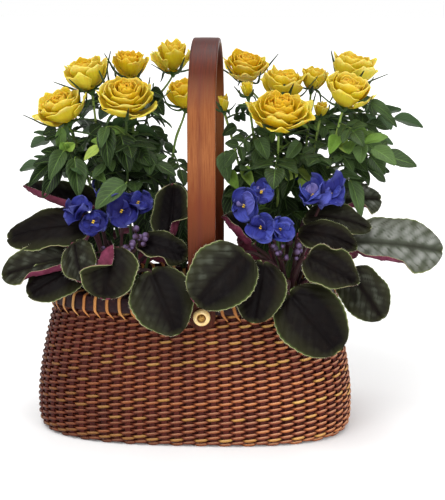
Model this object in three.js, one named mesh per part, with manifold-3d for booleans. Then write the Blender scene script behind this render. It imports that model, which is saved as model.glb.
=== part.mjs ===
// A planted flower basket: yellow miniature roses standing over African violets, in an
// oval woven basket with a pinned bent-wood handle.
// Millimetres, +Z up, +X to the viewer's right, -Y towards the front. The origin is the
// middle of the basket's underside.

import * as THREE from 'three';
import { mergeVertices } from 'three/addons/utils/BufferGeometryUtils.js';
import Module from 'manifold-3d';

const wasm = await Module();
wasm.setup();
const { Manifold } = wasm;

// ---------------------------------------------------------------- driving dimensions

const GAP = 0.3; // clear space kept between touching pieces

const BASKET = {
  staves: 40, // upright staves round the wall, one column of relief each
  rows: 15, // rows of relief up the wall
  relief: 1.2, // how far a weaver stands proud where it crosses a stave
  hollow: 0.1, // how far the wall sinks back where a stave shows between weavers
  wall: 4.5,
  floor: 5,
  height: 121,
  baseHalfWidth: 127,
  bellyHalfWidth: 134.5,
  mouthHalfWidth: 117,
  baseHalfDepth: 62.5,
  bellyHalfDepth: 70,
  mouthHalfDepth: 58,
  footHeight: 12,
  bellyZ: 26,
  mouthZ: 116,
  squareness: 2.8, // exponent of the oval: 2 is an ellipse
};

const RIM = { bottom: 111, top: 124, thickness: 4, wrap: 0.7, innerThickness: 3.4, innerClearance: 1.1 };

const HANDLE = {
  x: 11,
  width: 22,
  thickness: 5,
  chamfer: 0.9,
  innerY: 63.6, // inner face of each leg
  top: 329,
  pivotZ: 112.4,
  tail: 12, // leg below the pivot
  archSteps: 12,
};

const SWING = { room: 13, step: 3.25 }; // degrees kept clear each way, and the step between copies
const HAND_ROOM = { width: 30, bottom: 190 }; // kept free of leaves, from one leg to the other
const PIN = { radius: 2, clearance: 0.3, headRadius: 2.9, headHeight: 1.2, clenchRadius: 4 };
const KNOB = { radius: 6.9, height: 5.6, recessRadius: 3.4, recessFloor: 4.3, sides: 10 };

const LINER = { clearance: 1.2, wall: 1.2, columns: 28, top: 109, bottom: 5.4 };
const SOIL = { clearance: 1.2, edgeZ: 102, crownZ: 107, bottom: 7.2 };
const STOCK_FOOT = 84; // how deep the plants' stocks reach into the soil

const PETAL_THICKNESS = 0.9;
const LEAFLET_THICKNESS = 0.7;
const VIOLET_LEAF_THICKNESS = 1.4;
const FLOWER_THICKNESS = 0.9;

const CANE_RADIUS = 1.4;
// Cup and sepals, as shares of the bloom's radius.
const CALYX = { sepals: 5, depth: 0.26, neck: 0.17, reach: 0.7, drop: 0.3 };

// Rose blooms: centre, radius, how open (0 bud to 1 flat), the way each faces, the bush it
// stands on, and the points that its cane bends through on the way up.
const ROSES = [
  { at: [-114, 15, 270], radius: 20, open: 0.7, faces: [-0.45, -0.35, 0.8], side: 'left' },
  { at: [-94, 30, 295], radius: 18, open: 0.6, faces: [-0.25, -0.2, 0.9], side: 'left' },
  { at: [-58, 2, 282], radius: 26, open: 1.0, faces: [0.05, -0.5, 0.85], side: 'left' },
  { at: [-56, 45, 302], radius: 15, open: 0.4, faces: [0.1, -0.1, 1], side: 'left' },
  { at: [-26, 86, 306], radius: 18, open: 0.6, faces: [0.25, -0.3, 0.9], side: 'left',
    via: [[-52, 46, 190], [-48, 76, 252]] },
  { at: [-14, 38, 278], radius: 14, open: 0.4, faces: [-0.1, -0.3, 0.95], side: 'left' },
  { at: [40, 86, 299], radius: 20, open: 0.8, faces: [0.1, -0.35, 0.9], side: 'right',
    via: [[76, 46, 190], [66, 76, 250]] },
  { at: [74, 34, 289], radius: 19, open: 0.7, faces: [0.1, -0.15, 1], side: 'right' },
  { at: [44, 8, 286], radius: 7, open: 0.0, faces: [-0.1, -0.1, 1], side: 'right' },
  { at: [72, -10, 272], radius: 28, open: 1.0, faces: [0.1, -0.55, 0.82], side: 'right' },
  { at: [103, 45, 293], radius: 12, open: 0.3, faces: [0.45, -0.1, 0.85], side: 'right' },
  { at: [128, 0, 286], radius: 18, open: 0.6, faces: [0.3, -0.3, 0.9], side: 'right' },
  { at: [136, 40, 302], radius: 18, open: 0.5, faces: [0.35, -0.05, 0.95], side: 'right' },
  { at: [24, 25, 272], radius: 8, open: 0.1, faces: [-0.1, -0.2, 1], side: 'right' },
  { at: [106, 24, 266], radius: 9, open: 0.2, faces: [0.1, -0.3, 0.9], side: 'right' },
];

const ROSE_STOCKS = {
  left: { at: [-52, 4], radius: 6 },
  right: { at: [74, 4], radius: 6 },
};

/**
 * A violet leaf: the blade's base and tip, its width, the way its upper face looks, and how
 * much it cups across and arches along, as shares of its half-width and length.
 */
const leaf = (base, tip, width, faces, cup, arch) => ({ base, tip, width, faces, cup, arch });

// Where each violet stands, its leaves, the clusters of flowers that it carries, and its buds.
const VIOLETS = {
  front_left: {
    at: [-64, -28],
    leaves: [
      leaf([-79, -18, 191], [-144, 0, 205], 42, [0.15, -0.45, 1], 0.3, -0.04),
      leaf([-82, -30, 179], [-154, -26, 165], 42, [0, -0.75, 0.8], -0.12, 0.08),
      leaf([-87, -42, 154], [-154, -50, 139], 38, [-0.2, -0.8, 0.7], 0.15, 0.06),
      leaf([-88, -44, 147], [-131, -60, 126], 38, [-0.3, -0.9, 0.45], 0, 0.1),
      leaf([-92, -54, 169], [-82, -76, 142], 30, [-0.4, -0.8, 0.5], -0.2, 0.1),
      leaf([-61, -62, 168], [-65, -84, 130], 46, [0.05, -1, 0.25], 0.14, 0.06),
      leaf([-18, -42, 167], [-14, -28, 213], 32, [-0.1, -0.9, 0.5], 0.3, -0.04),
      leaf([-42, -46, 167], [-2, -56, 158], 30, [0, -0.85, 0.7], -0.1, 0.12),
      leaf([-30, -66, 149], [-12, -94, 105], 50, [0, -1, 0.3], -0.06, 0.07),
    ],
    clusters: ['left_outer', 'left_inner'],
    buds: [[-81, -52, 164], [-51, -58, 167], [-37, -54, 172]],
  },
  front_right: {
    at: [80, -28],
    leaves: [
      leaf([48, -76, 166], [9, -96, 124], 54, [-0.1, -1, 0.35], -0.06, 0.07),
      leaf([50, -50, 168], [27, -46, 190], 28, [-0.2, -0.9, 0.4], 0.2, 0),
      leaf([60, -64, 157], [53, -88, 114], 42, [0, -1, 0.25], -0.06, 0.06),
      leaf([80, -68, 133], [119, -94, 93], 54, [0.15, -1, 0.3], -0.06, 0.07),
      leaf([94, -62, 162], [134, -82, 145], 36, [0.15, -1, 0.5], 0.14, 0.08),
      leaf([88, -40, 176], [134, -56, 168], 28, [0.1, -0.9, 0.7], -0.1, 0.14),
      leaf([93, -22, 185], [146, -34, 178], 28, [0.1, -0.85, 0.8], -0.1, 0.14),
      leaf([127, -44, 146], [155, -66, 112], 38, [0.2, -1, 0.3], -0.06, 0.08),
      leaf([132, -28, 166], [206, -24, 157], 48, [0, -0.8, 0.8], -0.1, 0.08),
      leaf([120, 2, 192], [157, 10, 194], 34, [0.1, -0.8, 0.7], -0.05, 0.1),
    ],
    clusters: ['right_inner', 'right_low', 'right_outer'],
    buds: [[72, -60, 163], [88, -58, 168]],
  },
  back_left: {
    at: [-64, 28],
    leaves: [
      leaf([-96, 26, 160], [-152, 46, 144], 42, [-0.3, 0.5, 0.9], -0.1, 0.1),
      leaf([-88, 52, 154], [-122, 88, 124], 44, [-0.3, 0.9, 0.5], -0.06, 0.07),
      leaf([-58, 62, 156], [-66, 92, 114], 48, [0, 1, 0.35], -0.06, 0.07),
      leaf([-30, 60, 158], [-36, 88, 116], 38, [0, 1, 0.35], 0.1, 0.07),
      leaf([-92, 22, 186], [-128, 42, 200], 34, [-0.1, 0.3, 1], -0.1, 0.08),
    ],
    clusters: ['back_left'],
    buds: [[-40, 52, 176]],
  },
  back_right: {
    at: [80, 28],
    leaves: [
      leaf([114, 26, 160], [168, 44, 144], 42, [0.3, 0.5, 0.9], -0.1, 0.1),
      leaf([104, 52, 154], [136, 88, 122], 44, [0.3, 0.9, 0.5], -0.06, 0.07),
      leaf([78, 62, 158], [86, 92, 114], 46, [0, 1, 0.35], -0.06, 0.07),
      leaf([52, 60, 156], [54, 88, 112], 38, [0, 1, 0.35], 0.1, 0.07),
      leaf([112, 24, 186], [148, 42, 200], 34, [0.1, 0.3, 1], -0.1, 0.08),
    ],
    clusters: ['back_right'],
    buds: [[62, 52, 176]],
  },
};

// Clusters of violet flowers: each flower's centre, radius and the way it faces.
const CLUSTERS = {
  left_outer: [
    { at: [-89, -44, 192], radius: 13, faces: [-0.3, -0.8, 0.5] },
    { at: [-78, -48, 184], radius: 11, faces: [0.1, -0.9, 0.3] },
  ],
  left_inner: [
    { at: [-55, -46, 193], radius: 15, faces: [0.05, -0.9, 0.4] },
    { at: [-43, -38, 198], radius: 11, faces: [0.2, -0.8, 0.6] },
    { at: [-66, -38, 206], radius: 12, faces: [-0.1, -0.7, 0.8] },
  ],
  right_inner: [
    { at: [44, -50, 199], radius: 13, faces: [-0.1, -0.9, 0.4] },
    { at: [57, -42, 208], radius: 11, faces: [0.2, -0.7, 0.7] },
  ],
  right_low: [
    { at: [58, -60, 184], radius: 12, faces: [-0.2, -0.9, 0.35] },
    { at: [72, -58, 182], radius: 12, faces: [0.3, -0.9, 0.3] },
  ],
  right_outer: [
    { at: [99, -34, 206], radius: 13, faces: [-0.2, -0.8, 0.6] },
    { at: [114, -28, 208], radius: 13, faces: [0.4, -0.7, 0.6] },
  ],
  back_left: [
    { at: [-80, 62, 192], radius: 15, faces: [-0.1, 0.8, 0.6] },
  ],
  back_right: [
    { at: [98, 60, 194], radius: 15, faces: [0.1, 0.8, 0.6] },
  ],
};

// ---------------------------------------------------------------- materials

const finish = (color, roughness, metalness = 0) => ({ color, roughness, metalness });

const MATERIALS = {
  cane: finish('#7a4a2a', 0.6),
  rim: finish('#4a2a20', 0.6),
  wood: finish('#8a4526', 0.35),
  bone: finish('#d8c69a', 0.35),
  brass: finish('#b08a45', 0.35, 1),
  liner: finish('#1c1f1c', 0.7),
  soil: finish('#33251b', 0.95),
  roseLeaf: finish('#33562c', 0.5),
  petal: finish('#f2cc2e', 0.6),
  violetLeaf: finish('#2f3d26', 0.6),
  violetFlower: finish('#3d3fae', 0.6),
};

// ---------------------------------------------------------------- small helpers

const vec = (x, y, z) => new THREE.Vector3(x, y, z);
const fromArray = (values) => vec(values[0], values[1], values[2]);

/** A repeatable number from 0 to 1 for a whole number. */
function scatter(n) {
  const s = Math.sin(n * 12.9898) * 43758.5453;
  return s - Math.floor(s);
}

/** Three axes with `along` kept and `facing` turned square to it. */
function axes(along, facing) {
  const forward = along.clone().normalize();
  const side = facing.clone().cross(forward).normalize();
  const normal = forward.clone().cross(side);
  return { forward, side, normal };
}

/** Two axes square to a direction. */
function crossAxes(direction) {
  const spare = Math.abs(direction.z) < 0.9 ? vec(0, 0, 1) : vec(1, 0, 0);
  const side = spare.cross(direction).normalize();
  return { side, other: direction.clone().cross(side) };
}

function indexedGeometry(points, triangles) {
  const geometry = new THREE.BufferGeometry();
  geometry.setAttribute('position', new THREE.Float32BufferAttribute(points.flatMap((p) => p.toArray()), 3));
  geometry.setIndex(triangles.flat());
  return geometry;
}

function signedVolume(position, index) {
  const a = new THREE.Vector3();
  const b = new THREE.Vector3();
  const c = new THREE.Vector3();
  let volume = 0;
  for (let i = 0; i < index.length; i += 3) {
    a.fromBufferAttribute(position, index[i]);
    b.fromBufferAttribute(position, index[i + 1]);
    c.fromBufferAttribute(position, index[i + 2]);
    volume += a.dot(b.cross(c)) / 6;
  }
  return volume;
}

/** A closed geometry as a solid, its faces turned outwards. */
function toSolid(geometry) {
  const bare = geometry.clone();
  bare.deleteAttribute('normal');
  bare.deleteAttribute('uv');
  const merged = mergeVertices(bare, 1e-4);
  const position = merged.getAttribute('position');
  const triVerts = new Uint32Array(merged.index.array);
  if (signedVolume(position, triVerts) < 0) {
    for (let i = 0; i < triVerts.length; i += 3) {
      [triVerts[i], triVerts[i + 1]] = [triVerts[i + 1], triVerts[i]];
    }
  }
  const mesh = new wasm.Mesh({ numProp: 3, vertProperties: new Float32Array(position.array), triVerts });
  return new Manifold(mesh);
}

function toGeometry(solid) {
  const mesh = solid.getMesh();
  const geometry = new THREE.BufferGeometry();
  geometry.setAttribute('position', new THREE.BufferAttribute(mesh.vertProperties, 3));
  geometry.setIndex(new THREE.BufferAttribute(mesh.triVerts, 1));
  return geometry;
}

/** Solids joined into one, without the loose scraps. */
function fuse(solids) {
  const pieces = Manifold.union(solids).decompose();
  pieces.sort((a, b) => b.volume() - a.volume());
  return pieces[0];
}

/** Merges the slivers that a join leaves. */
const SLIVER = 0.2;
const tidy = (solid) => solid.asOriginal().simplify(SLIVER);

// ---------------------------------------------------------------- shapes

/** A closed thin sheet round a surface of triangles. `thickness` is one number or one a point. */
function thicken(points, triangles, thickness) {
  const surface = indexedGeometry(points, triangles);
  surface.computeVertexNormals();
  const normals = surface.getAttribute('normal');
  const offset = (i, distance) => points[i].clone().addScaledVector(
    vec(normals.getX(i), normals.getY(i), normals.getZ(i)), distance);
  const half = (i) => (Array.isArray(thickness) ? thickness[i] : thickness) / 2;
  const upper = points.map((p, i) => offset(i, half(i)));
  const lower = points.map((p, i) => offset(i, -half(i)));
  const count = points.length;
  const faces = [];
  const edges = new Map();
  for (const [a, b, c] of triangles) {
    faces.push([a, b, c], [count + a, count + c, count + b]);
    for (const [from, to] of [[a, b], [b, c], [c, a]]) {
      const back = `${to}-${from}`;
      if (edges.has(back)) edges.delete(back);
      else edges.set(`${from}-${to}`, [from, to]);
    }
  }
  for (const [from, to] of edges.values()) {
    faces.push([to, from, count + from], [to, count + from, count + to]);
  }
  return toSolid(indexedGeometry([...upper, ...lower], faces));
}

/** Triangles between rows of points, which grow or shrink by any number of points. */
function rowTriangles(rowSizes) {
  const triangles = [];
  let start = 0;
  for (let r = 0; r + 1 < rowSizes.length; r += 1) {
    const here = rowSizes[r] - 1;
    const next = rowSizes[r + 1] - 1;
    const nextStart = start + here + 1;
    let i = 0;
    let j = 0;
    while (i < here || j < next) {
      const stepHere = j === next || (i < here && (i + 1) / here <= (j + 1) / next);
      if (stepHere) {
        triangles.push([start + i, start + i + 1, nextStart + j]);
        i += 1;
      } else {
        triangles.push([start + i, nextStart + j + 1, nextStart + j]);
        j += 1;
      }
    }
    start = nextStart;
  }
  return triangles;
}

/** A closed solid through rings of equal size, with a fan over each end. */
function ringStack(rings, { open = false } = {}) {
  const size = rings[0].length;
  const points = rings.flat();
  const triangles = [];
  const bands = open ? rings.length : rings.length - 1;
  for (let r = 0; r < bands; r += 1) {
    const low = r * size;
    const high = ((r + 1) % rings.length) * size;
    for (let i = 0; i < size; i += 1) {
      const j = (i + 1) % size;
      triangles.push([low + i, low + j, high + j], [low + i, high + j, high + i]);
    }
  }
  if (!open) {
    const centres = [rings[0], rings[rings.length - 1]].map((ring) => {
      const sum = ring.reduce((total, p) => total.add(p), vec(0, 0, 0));
      return sum.divideScalar(size);
    });
    const first = points.length;
    points.push(...centres);
    const last = (rings.length - 1) * size;
    for (let i = 0; i < size; i += 1) {
      const j = (i + 1) % size;
      triangles.push([first, j, i], [first + 1, last + i, last + j]);
    }
  }
  return indexedGeometry(points, triangles);
}

/** A round stalk along a curve through the given points. */
function stalk(points, radius, sides, steps) {
  const outline = new THREE.Shape();
  for (let i = 0; i < sides; i += 1) {
    const angle = (2 * Math.PI * i) / sides;
    const x = radius * Math.cos(angle);
    const y = radius * Math.sin(angle);
    if (i === 0) outline.moveTo(x, y);
    else outline.lineTo(x, y);
  }
  const curve = points.length > 2 ? new THREE.CatmullRomCurve3(points) : new THREE.LineCurve3(...points);
  return toSolid(new THREE.ExtrudeGeometry(outline, { steps, bevelEnabled: false, extrudePath: curve }));
}

/** A turned shape of [radius, height] points, standing along a direction. */
function turned(profile, sides, at, direction) {
  const geometry = new THREE.LatheGeometry(profile.map(([r, h]) => new THREE.Vector2(r, h)), sides);
  const turn = new THREE.Quaternion().setFromUnitVectors(vec(0, 1, 0), direction.clone().normalize());
  geometry.applyQuaternion(turn);
  geometry.translate(at.x, at.y, at.z);
  return toSolid(geometry);
}

/** An upright or level round bar between two points. */
function bar(from, to, radius, sides) {
  const length = from.distanceTo(to);
  return turned([[0, 0], [radius, 0], [radius, length], [0, length]], sides, from, to.clone().sub(from));
}

// ---------------------------------------------------------------- basket

/** Half-width and half-depth of the woven wall's outside at a height. */
function wallAt(z) {
  const foot = z < BASKET.footHeight ? Math.sqrt(1 - (1 - z / BASKET.footHeight) ** 2) : 1;
  const rise = Math.max(0, z - BASKET.bellyZ) / (BASKET.mouthZ - BASKET.bellyZ);
  const taper = rise ** 1.5;
  return {
    halfWidth: THREE.MathUtils.lerp(BASKET.baseHalfWidth, BASKET.bellyHalfWidth, foot)
      - (BASKET.bellyHalfWidth - BASKET.mouthHalfWidth) * taper,
    halfDepth: THREE.MathUtils.lerp(BASKET.baseHalfDepth, BASKET.bellyHalfDepth, foot)
      - (BASKET.bellyHalfDepth - BASKET.mouthHalfDepth) * taper,
  };
}

function ovalPoint(angle, halfWidth, halfDepth) {
  const power = 2 / BASKET.squareness;
  const c = Math.cos(angle);
  const s = Math.sin(angle);
  return [halfWidth * Math.sign(c) * Math.abs(c) ** power, halfDepth * Math.sign(s) * Math.abs(s) ** power];
}

/** Angles that part the oval into equal lengths. */
function evenAngles(count) {
  const samples = 4000;
  const lengths = [0];
  let previous = ovalPoint(0, BASKET.bellyHalfWidth, BASKET.bellyHalfDepth);
  for (let i = 1; i <= samples; i += 1) {
    const point = ovalPoint((2 * Math.PI * i) / samples, BASKET.bellyHalfWidth, BASKET.bellyHalfDepth);
    lengths.push(lengths[i - 1] + Math.hypot(point[0] - previous[0], point[1] - previous[1]));
    previous = point;
  }
  const angles = [];
  let at = 0;
  for (let k = 0; k < count; k += 1) {
    const target = (lengths[samples] * k) / count;
    while (lengths[at + 1] < target) at += 1;
    const share = (target - lengths[at]) / (lengths[at + 1] - lengths[at]);
    angles.push((2 * Math.PI * (at + share)) / samples);
  }
  return angles;
}

const STAVE_ANGLES = evenAngles(BASKET.staves);
const LINER_ANGLES = evenAngles(LINER.columns);

/** A level ring `inset` inside the wall's outside, with an optional relief for each column. */
function wallRing(z, inset, angles = STAVE_ANGLES, relief = () => 0) {
  const { halfWidth, halfDepth } = wallAt(z);
  return angles.map((angle, column) => {
    const out = relief(column) - inset;
    const [x, y] = ovalPoint(angle, halfWidth + out, halfDepth + out);
    return vec(x, y, z);
  });
}

function holeThroughRim() {
  const radius = PIN.radius + PIN.clearance;
  return bar(vec(HANDLE.x, -90, HANDLE.pivotZ), vec(HANDLE.x, 90, HANDLE.pivotZ), radius, 10);
}

function basketShell() {
  const rings = [0, 0.3 * BASKET.footHeight, BASKET.footHeight].map((z) => wallRing(z, 0));
  const weaveBottom = BASKET.footHeight + 4;
  const weaveTop = RIM.bottom - 4;
  for (let row = 0; row < BASKET.rows; row += 1) {
    const z = THREE.MathUtils.lerp(weaveBottom, weaveTop, row / (BASKET.rows - 1));
    const overUnder = (column) => ((column + row) % 2 ? BASKET.relief : -BASKET.hollow);
    rings.push(wallRing(z, 0, STAVE_ANGLES, overUnder));
  }
  rings.push(wallRing(RIM.bottom, 0), wallRing(BASKET.height, 0));
  rings.push(wallRing(BASKET.height, BASKET.wall));
  for (const z of [RIM.bottom - 2, BASKET.bellyZ]) rings.push(wallRing(z, BASKET.wall));
  rings.push(wallRing(BASKET.floor, BASKET.wall + 1));
  return toSolid(ringStack(rings)).subtract(holeThroughRim());
}

/** The hoop outside the wall, with the bumps of its lashing. */
function rimOuter() {
  const lashing = (column) => (column % 2 ? RIM.wrap : 0);
  const inner = -GAP - 0.1;
  const outer = -RIM.thickness;
  const rings = [
    wallRing(RIM.bottom, inner),
    wallRing(RIM.bottom + 1, outer, STAVE_ANGLES, lashing),
    wallRing(RIM.top - 1, outer, STAVE_ANGLES, lashing),
    wallRing(RIM.top, inner),
  ];
  return toSolid(ringStack(rings, { open: true })).subtract(holeThroughRim());
}

/** The thinner hoop inside the wall. */
function rimInner() {
  const outer = BASKET.wall + RIM.innerClearance;
  const inner = outer + RIM.innerThickness;
  const rings = [
    wallRing(RIM.bottom, outer, LINER_ANGLES),
    wallRing(RIM.bottom + 1, inner, LINER_ANGLES),
    wallRing(RIM.top - 1, inner, LINER_ANGLES),
    wallRing(RIM.top, outer, LINER_ANGLES),
  ];
  return toSolid(ringStack(rings, { open: true })).subtract(holeThroughRim());
}

// ---------------------------------------------------------------- handle, knobs and pins

/** One section of the handle's strip, square to its run. */
function stripSection(y, z, outwardY, outwardZ, halfWidth) {
  const half = HANDLE.thickness / 2;
  const cut = Math.min(HANDLE.chamfer, halfWidth / 2);
  const corners = [
    [halfWidth, half - cut], [halfWidth - cut, half], [cut - halfWidth, half], [-halfWidth, half - cut],
    [-halfWidth, cut - half], [cut - halfWidth, -half], [halfWidth - cut, -half], [halfWidth, cut - half],
  ];
  return corners.map(([across, out]) => vec(HANDLE.x + across, y + outwardY * out, z + outwardZ * out));
}

function handleStrip() {
  const halfWidth = HANDLE.width / 2;
  const legY = HANDLE.innerY + HANDLE.thickness / 2;
  const springZ = HANDLE.top - HANDLE.thickness / 2 - legY;
  const tailZ = HANDLE.pivotZ - HANDLE.tail;
  const roundSteps = 4;
  const leg = [];
  for (let k = 0; k <= roundSteps; k += 1) {
    const angle = ((k + 0.6) / (roundSteps + 0.6)) * (Math.PI / 2);
    leg.push({ z: tailZ + halfWidth * (1 - Math.cos(angle)), halfWidth: halfWidth * Math.sin(angle) });
  }
  const front = leg.map((s) => stripSection(-legY, s.z, -1, 0, s.halfWidth));
  const arch = [];
  for (let k = 0; k <= HANDLE.archSteps; k += 1) {
    const angle = (Math.PI * k) / HANDLE.archSteps;
    const [y, z] = [-Math.cos(angle), Math.sin(angle)];
    arch.push(stripSection(legY * y, springZ + legY * z, y, z, halfWidth));
  }
  const back = leg.map((s) => stripSection(legY, s.z, 1, 0, s.halfWidth)).reverse();
  return toSolid(ringStack([...front, ...arch, ...back])).subtract(holeThroughRim());
}

/** The space that the handle swings through, as closely set copies of it. */
function swingRoom(handle) {
  const copies = [];
  for (let angle = -SWING.room; angle <= SWING.room; angle += SWING.step) {
    copies.push(handle.translate([-HANDLE.x, 0, -HANDLE.pivotZ]).rotate([0, angle, 0])
      .translate([HANDLE.x, 0, HANDLE.pivotZ]));
  }
  return copies;
}

/** The space between the legs and under the arch, where a hand reaches in to carry the basket. */
function handRoom() {
  const { width, bottom } = HAND_ROOM;
  const box = new THREE.BoxGeometry(width, 2 * HANDLE.innerY, HANDLE.top - bottom);
  box.translate(HANDLE.x, 0, (HANDLE.top + bottom) / 2);
  return toSolid(box);
}

/** `outward` is -1 at the front and 1 at the back. */
function knob(outward) {
  const bore = PIN.radius + PIN.clearance;
  const seat = HANDLE.innerY + HANDLE.thickness + GAP;
  const profile = [
    [bore, 0], [KNOB.radius - 1, 0], [KNOB.radius, 1.4], [KNOB.radius, 3.2], [KNOB.radius - 1.6, 5.1],
    [KNOB.recessRadius + 0.8, KNOB.height], [KNOB.recessRadius, KNOB.recessFloor],
    [bore, KNOB.recessFloor], [bore, 0],
  ];
  return turned(profile, KNOB.sides, vec(HANDLE.x, outward * seat, HANDLE.pivotZ), vec(0, outward, 0));
}

/** The rivet: a head in the knob's recess, a shank, and a clench inside the rim. */
function pin(outward) {
  const seat = HANDLE.innerY + HANDLE.thickness + GAP;
  const headUnder = KNOB.recessFloor + GAP;
  const hoopFace = wallAt(HANDLE.pivotZ + PIN.clenchRadius).halfDepth
    - BASKET.wall - RIM.innerClearance - RIM.innerThickness;
  const clench = hoopFace - 2 * GAP - seat;
  const profile = [
    [0, clench - PIN.headHeight], [PIN.clenchRadius, clench - PIN.headHeight], [PIN.clenchRadius, clench],
    [PIN.radius, clench], [PIN.radius, headUnder], [PIN.headRadius, headUnder],
    [PIN.headRadius - 0.7, headUnder + PIN.headHeight], [0, headUnder + PIN.headHeight],
  ];
  return turned(profile, 10, vec(HANDLE.x, outward * seat, HANDLE.pivotZ), vec(0, outward, 0));
}

// ---------------------------------------------------------------- liner and soil

function liner() {
  const outer = BASKET.wall + LINER.clearance;
  const inner = outer + LINER.wall;
  const rings = [
    wallRing(LINER.bottom, outer + 1, LINER_ANGLES),
    wallRing(BASKET.bellyZ, outer, LINER_ANGLES),
    wallRing(LINER.top, outer, LINER_ANGLES),
    wallRing(LINER.top, inner, LINER_ANGLES),
    wallRing(BASKET.bellyZ, inner, LINER_ANGLES),
    wallRing(LINER.bottom + LINER.wall, inner + 1, LINER_ANGLES),
  ];
  return toSolid(ringStack(rings));
}

/** Potting soil: a low uneven mound with a plain hole for each plant's stock. */
function soil(stocks) {
  const inset = BASKET.wall + LINER.clearance + LINER.wall + SOIL.clearance;
  const mound = (share, z, seed) => wallRing(SOIL.edgeZ, inset, LINER_ANGLES).map((p, i) => (
    vec(p.x * share, p.y * share, z + 1.2 * scatter(seed + i))));
  const rings = [
    wallRing(SOIL.bottom, inset + 1, LINER_ANGLES),
    wallRing(BASKET.bellyZ, inset, LINER_ANGLES),
    wallRing(SOIL.edgeZ, inset, LINER_ANGLES),
    mound(0.6, SOIL.crownZ - 2, 10),
  ];
  let body = toSolid(ringStack(rings));
  for (const { at, radius } of stocks) {
    const [x, y] = at;
    body = body.subtract(bar(vec(x, y, STOCK_FOOT - GAP), vec(x, y, 140), radius + GAP + 0.1, 7));
  }
  return body;
}

/** The woody foot of a plant, from inside its hole to just above the soil. */
function stock([x, y], radius, top) {
  return bar(vec(x, y, STOCK_FOOT), vec(x, y, top), radius, 7);
}

// ---------------------------------------------------------------- roses

/**
 * A closed thin sheet with a ring of lobes, such as a whorl of petals. Each of `heart`,
 * `notch`, `belly`, `shoulder` and `lip` is [reach, height] from the middle, in radii. A
 * flat flower has no belly.
 */
function lobedSheet(frame, radius, shape, thickness, seed) {
  const place = (angle, [reach, height]) => frame.at.clone()
    .addScaledVector(frame.side, radius * reach * Math.cos(angle))
    .addScaledVector(frame.other, radius * reach * Math.sin(angle))
    .addScaledVector(frame.up, radius * height);
  const points = [place(0, shape.heart)];
  const triangles = [];
  const perLobe = shape.belly ? 5 : 4;
  const pitch = (2 * Math.PI) / shape.count;
  for (let k = 0; k < shape.count; k += 1) {
    const angle = shape.turn + pitch * k;
    const wave = shape.wave * (scatter(seed + k) - 0.5);
    const shoulder = ([reach, height], up) => [reach, height + up];
    points.push(
      place(angle - pitch / 2, shape.notch),
      ...(shape.belly ? [place(angle, shape.belly)] : []),
      place(angle - 0.36 * pitch, shoulder(shape.shoulder, wave)),
      place(angle, shoulder(shape.lip, -wave)),
      place(angle + 0.36 * pitch, shoulder(shape.shoulder, wave)),
    );
    const notch = 1 + perLobe * k;
    const [left, lip, right] = [3, 2, 1].map((i) => notch + perLobe - i);
    const nextNotch = 1 + ((perLobe * (k + 1)) % (perLobe * shape.count));
    const hub = shape.belly ? notch + 1 : 0;
    triangles.push([hub, notch, left], [hub, left, lip], [hub, lip, right], [hub, right, nextNotch]);
    if (shape.belly) triangles.push([0, notch, hub], [0, hub, nextNotch]);
  }
  return thicken(points, triangles, thickness);
}

/** Whorls of petals, from the outside in. */
function roseWhorls(open) {
  const flare = THREE.MathUtils.lerp(0.55, 1, open);
  const lift = THREE.MathUtils.lerp(0.7, 0.12, open);
  const outer = {
    count: open > 0.35 ? 5 : 3, turn: 0, wave: 0.1, heart: [0, -0.34], notch: [0.44 * flare, -0.2],
    belly: [0.64 * flare, -0.16], shoulder: [0.92 * flare, lift], lip: [flare, lift + 0.06],
  };
  const middle = {
    count: 4, turn: 0.6, wave: 0.1, heart: [0, -0.2], notch: [0.3 * flare, 0.04],
    belly: [0.42 * flare, 0.08], shoulder: [0.58 * flare, lift + 0.3], lip: [0.64 * flare, lift + 0.34],
  };
  const inner = {
    count: 3, turn: 0.2, wave: 0.1, heart: [0, -0.06], notch: [0.16, 0.12], belly: [0.22, 0.2],
    shoulder: [0.3, 0.52], lip: [0.34, 0.58],
  };
  if (open > 0.9) return [outer, middle, inner];
  if (open > 0.45) return [outer, middle];
  return [outer];
}

function roseFrame(rose) {
  const up = fromArray(rose.faces).normalize();
  return { at: fromArray(rose.at), up, ...crossAxes(up) };
}

function roseBloom(rose, number) {
  const frame = roseFrame(rose);
  const { radius } = rose;
  const heart = [[0, -0.42], [0.18, -0.3], [0.2, 0.2], [0, 0.48]].map(([r, h]) => [r * radius, h * radius]);
  const parts = [turned(heart, 3, frame.at, frame.up)];
  roseWhorls(rose.open).forEach((whorl, tier) => {
    parts.push(lobedSheet(frame, radius, whorl, PETAL_THICKNESS, 100 * number + 10 * tier));
  });
  return tidy(fuse(parts));
}

/** The point where a bloom sits on its calyx. */
function roseSeat(rose, below = 0) {
  const frame = roseFrame(rose);
  return frame.at.clone().addScaledVector(frame.up, -0.42 * rose.radius - GAP - below);
}

const calyxDepth = (rose) => Math.max(3, CALYX.depth * rose.radius);

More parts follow.
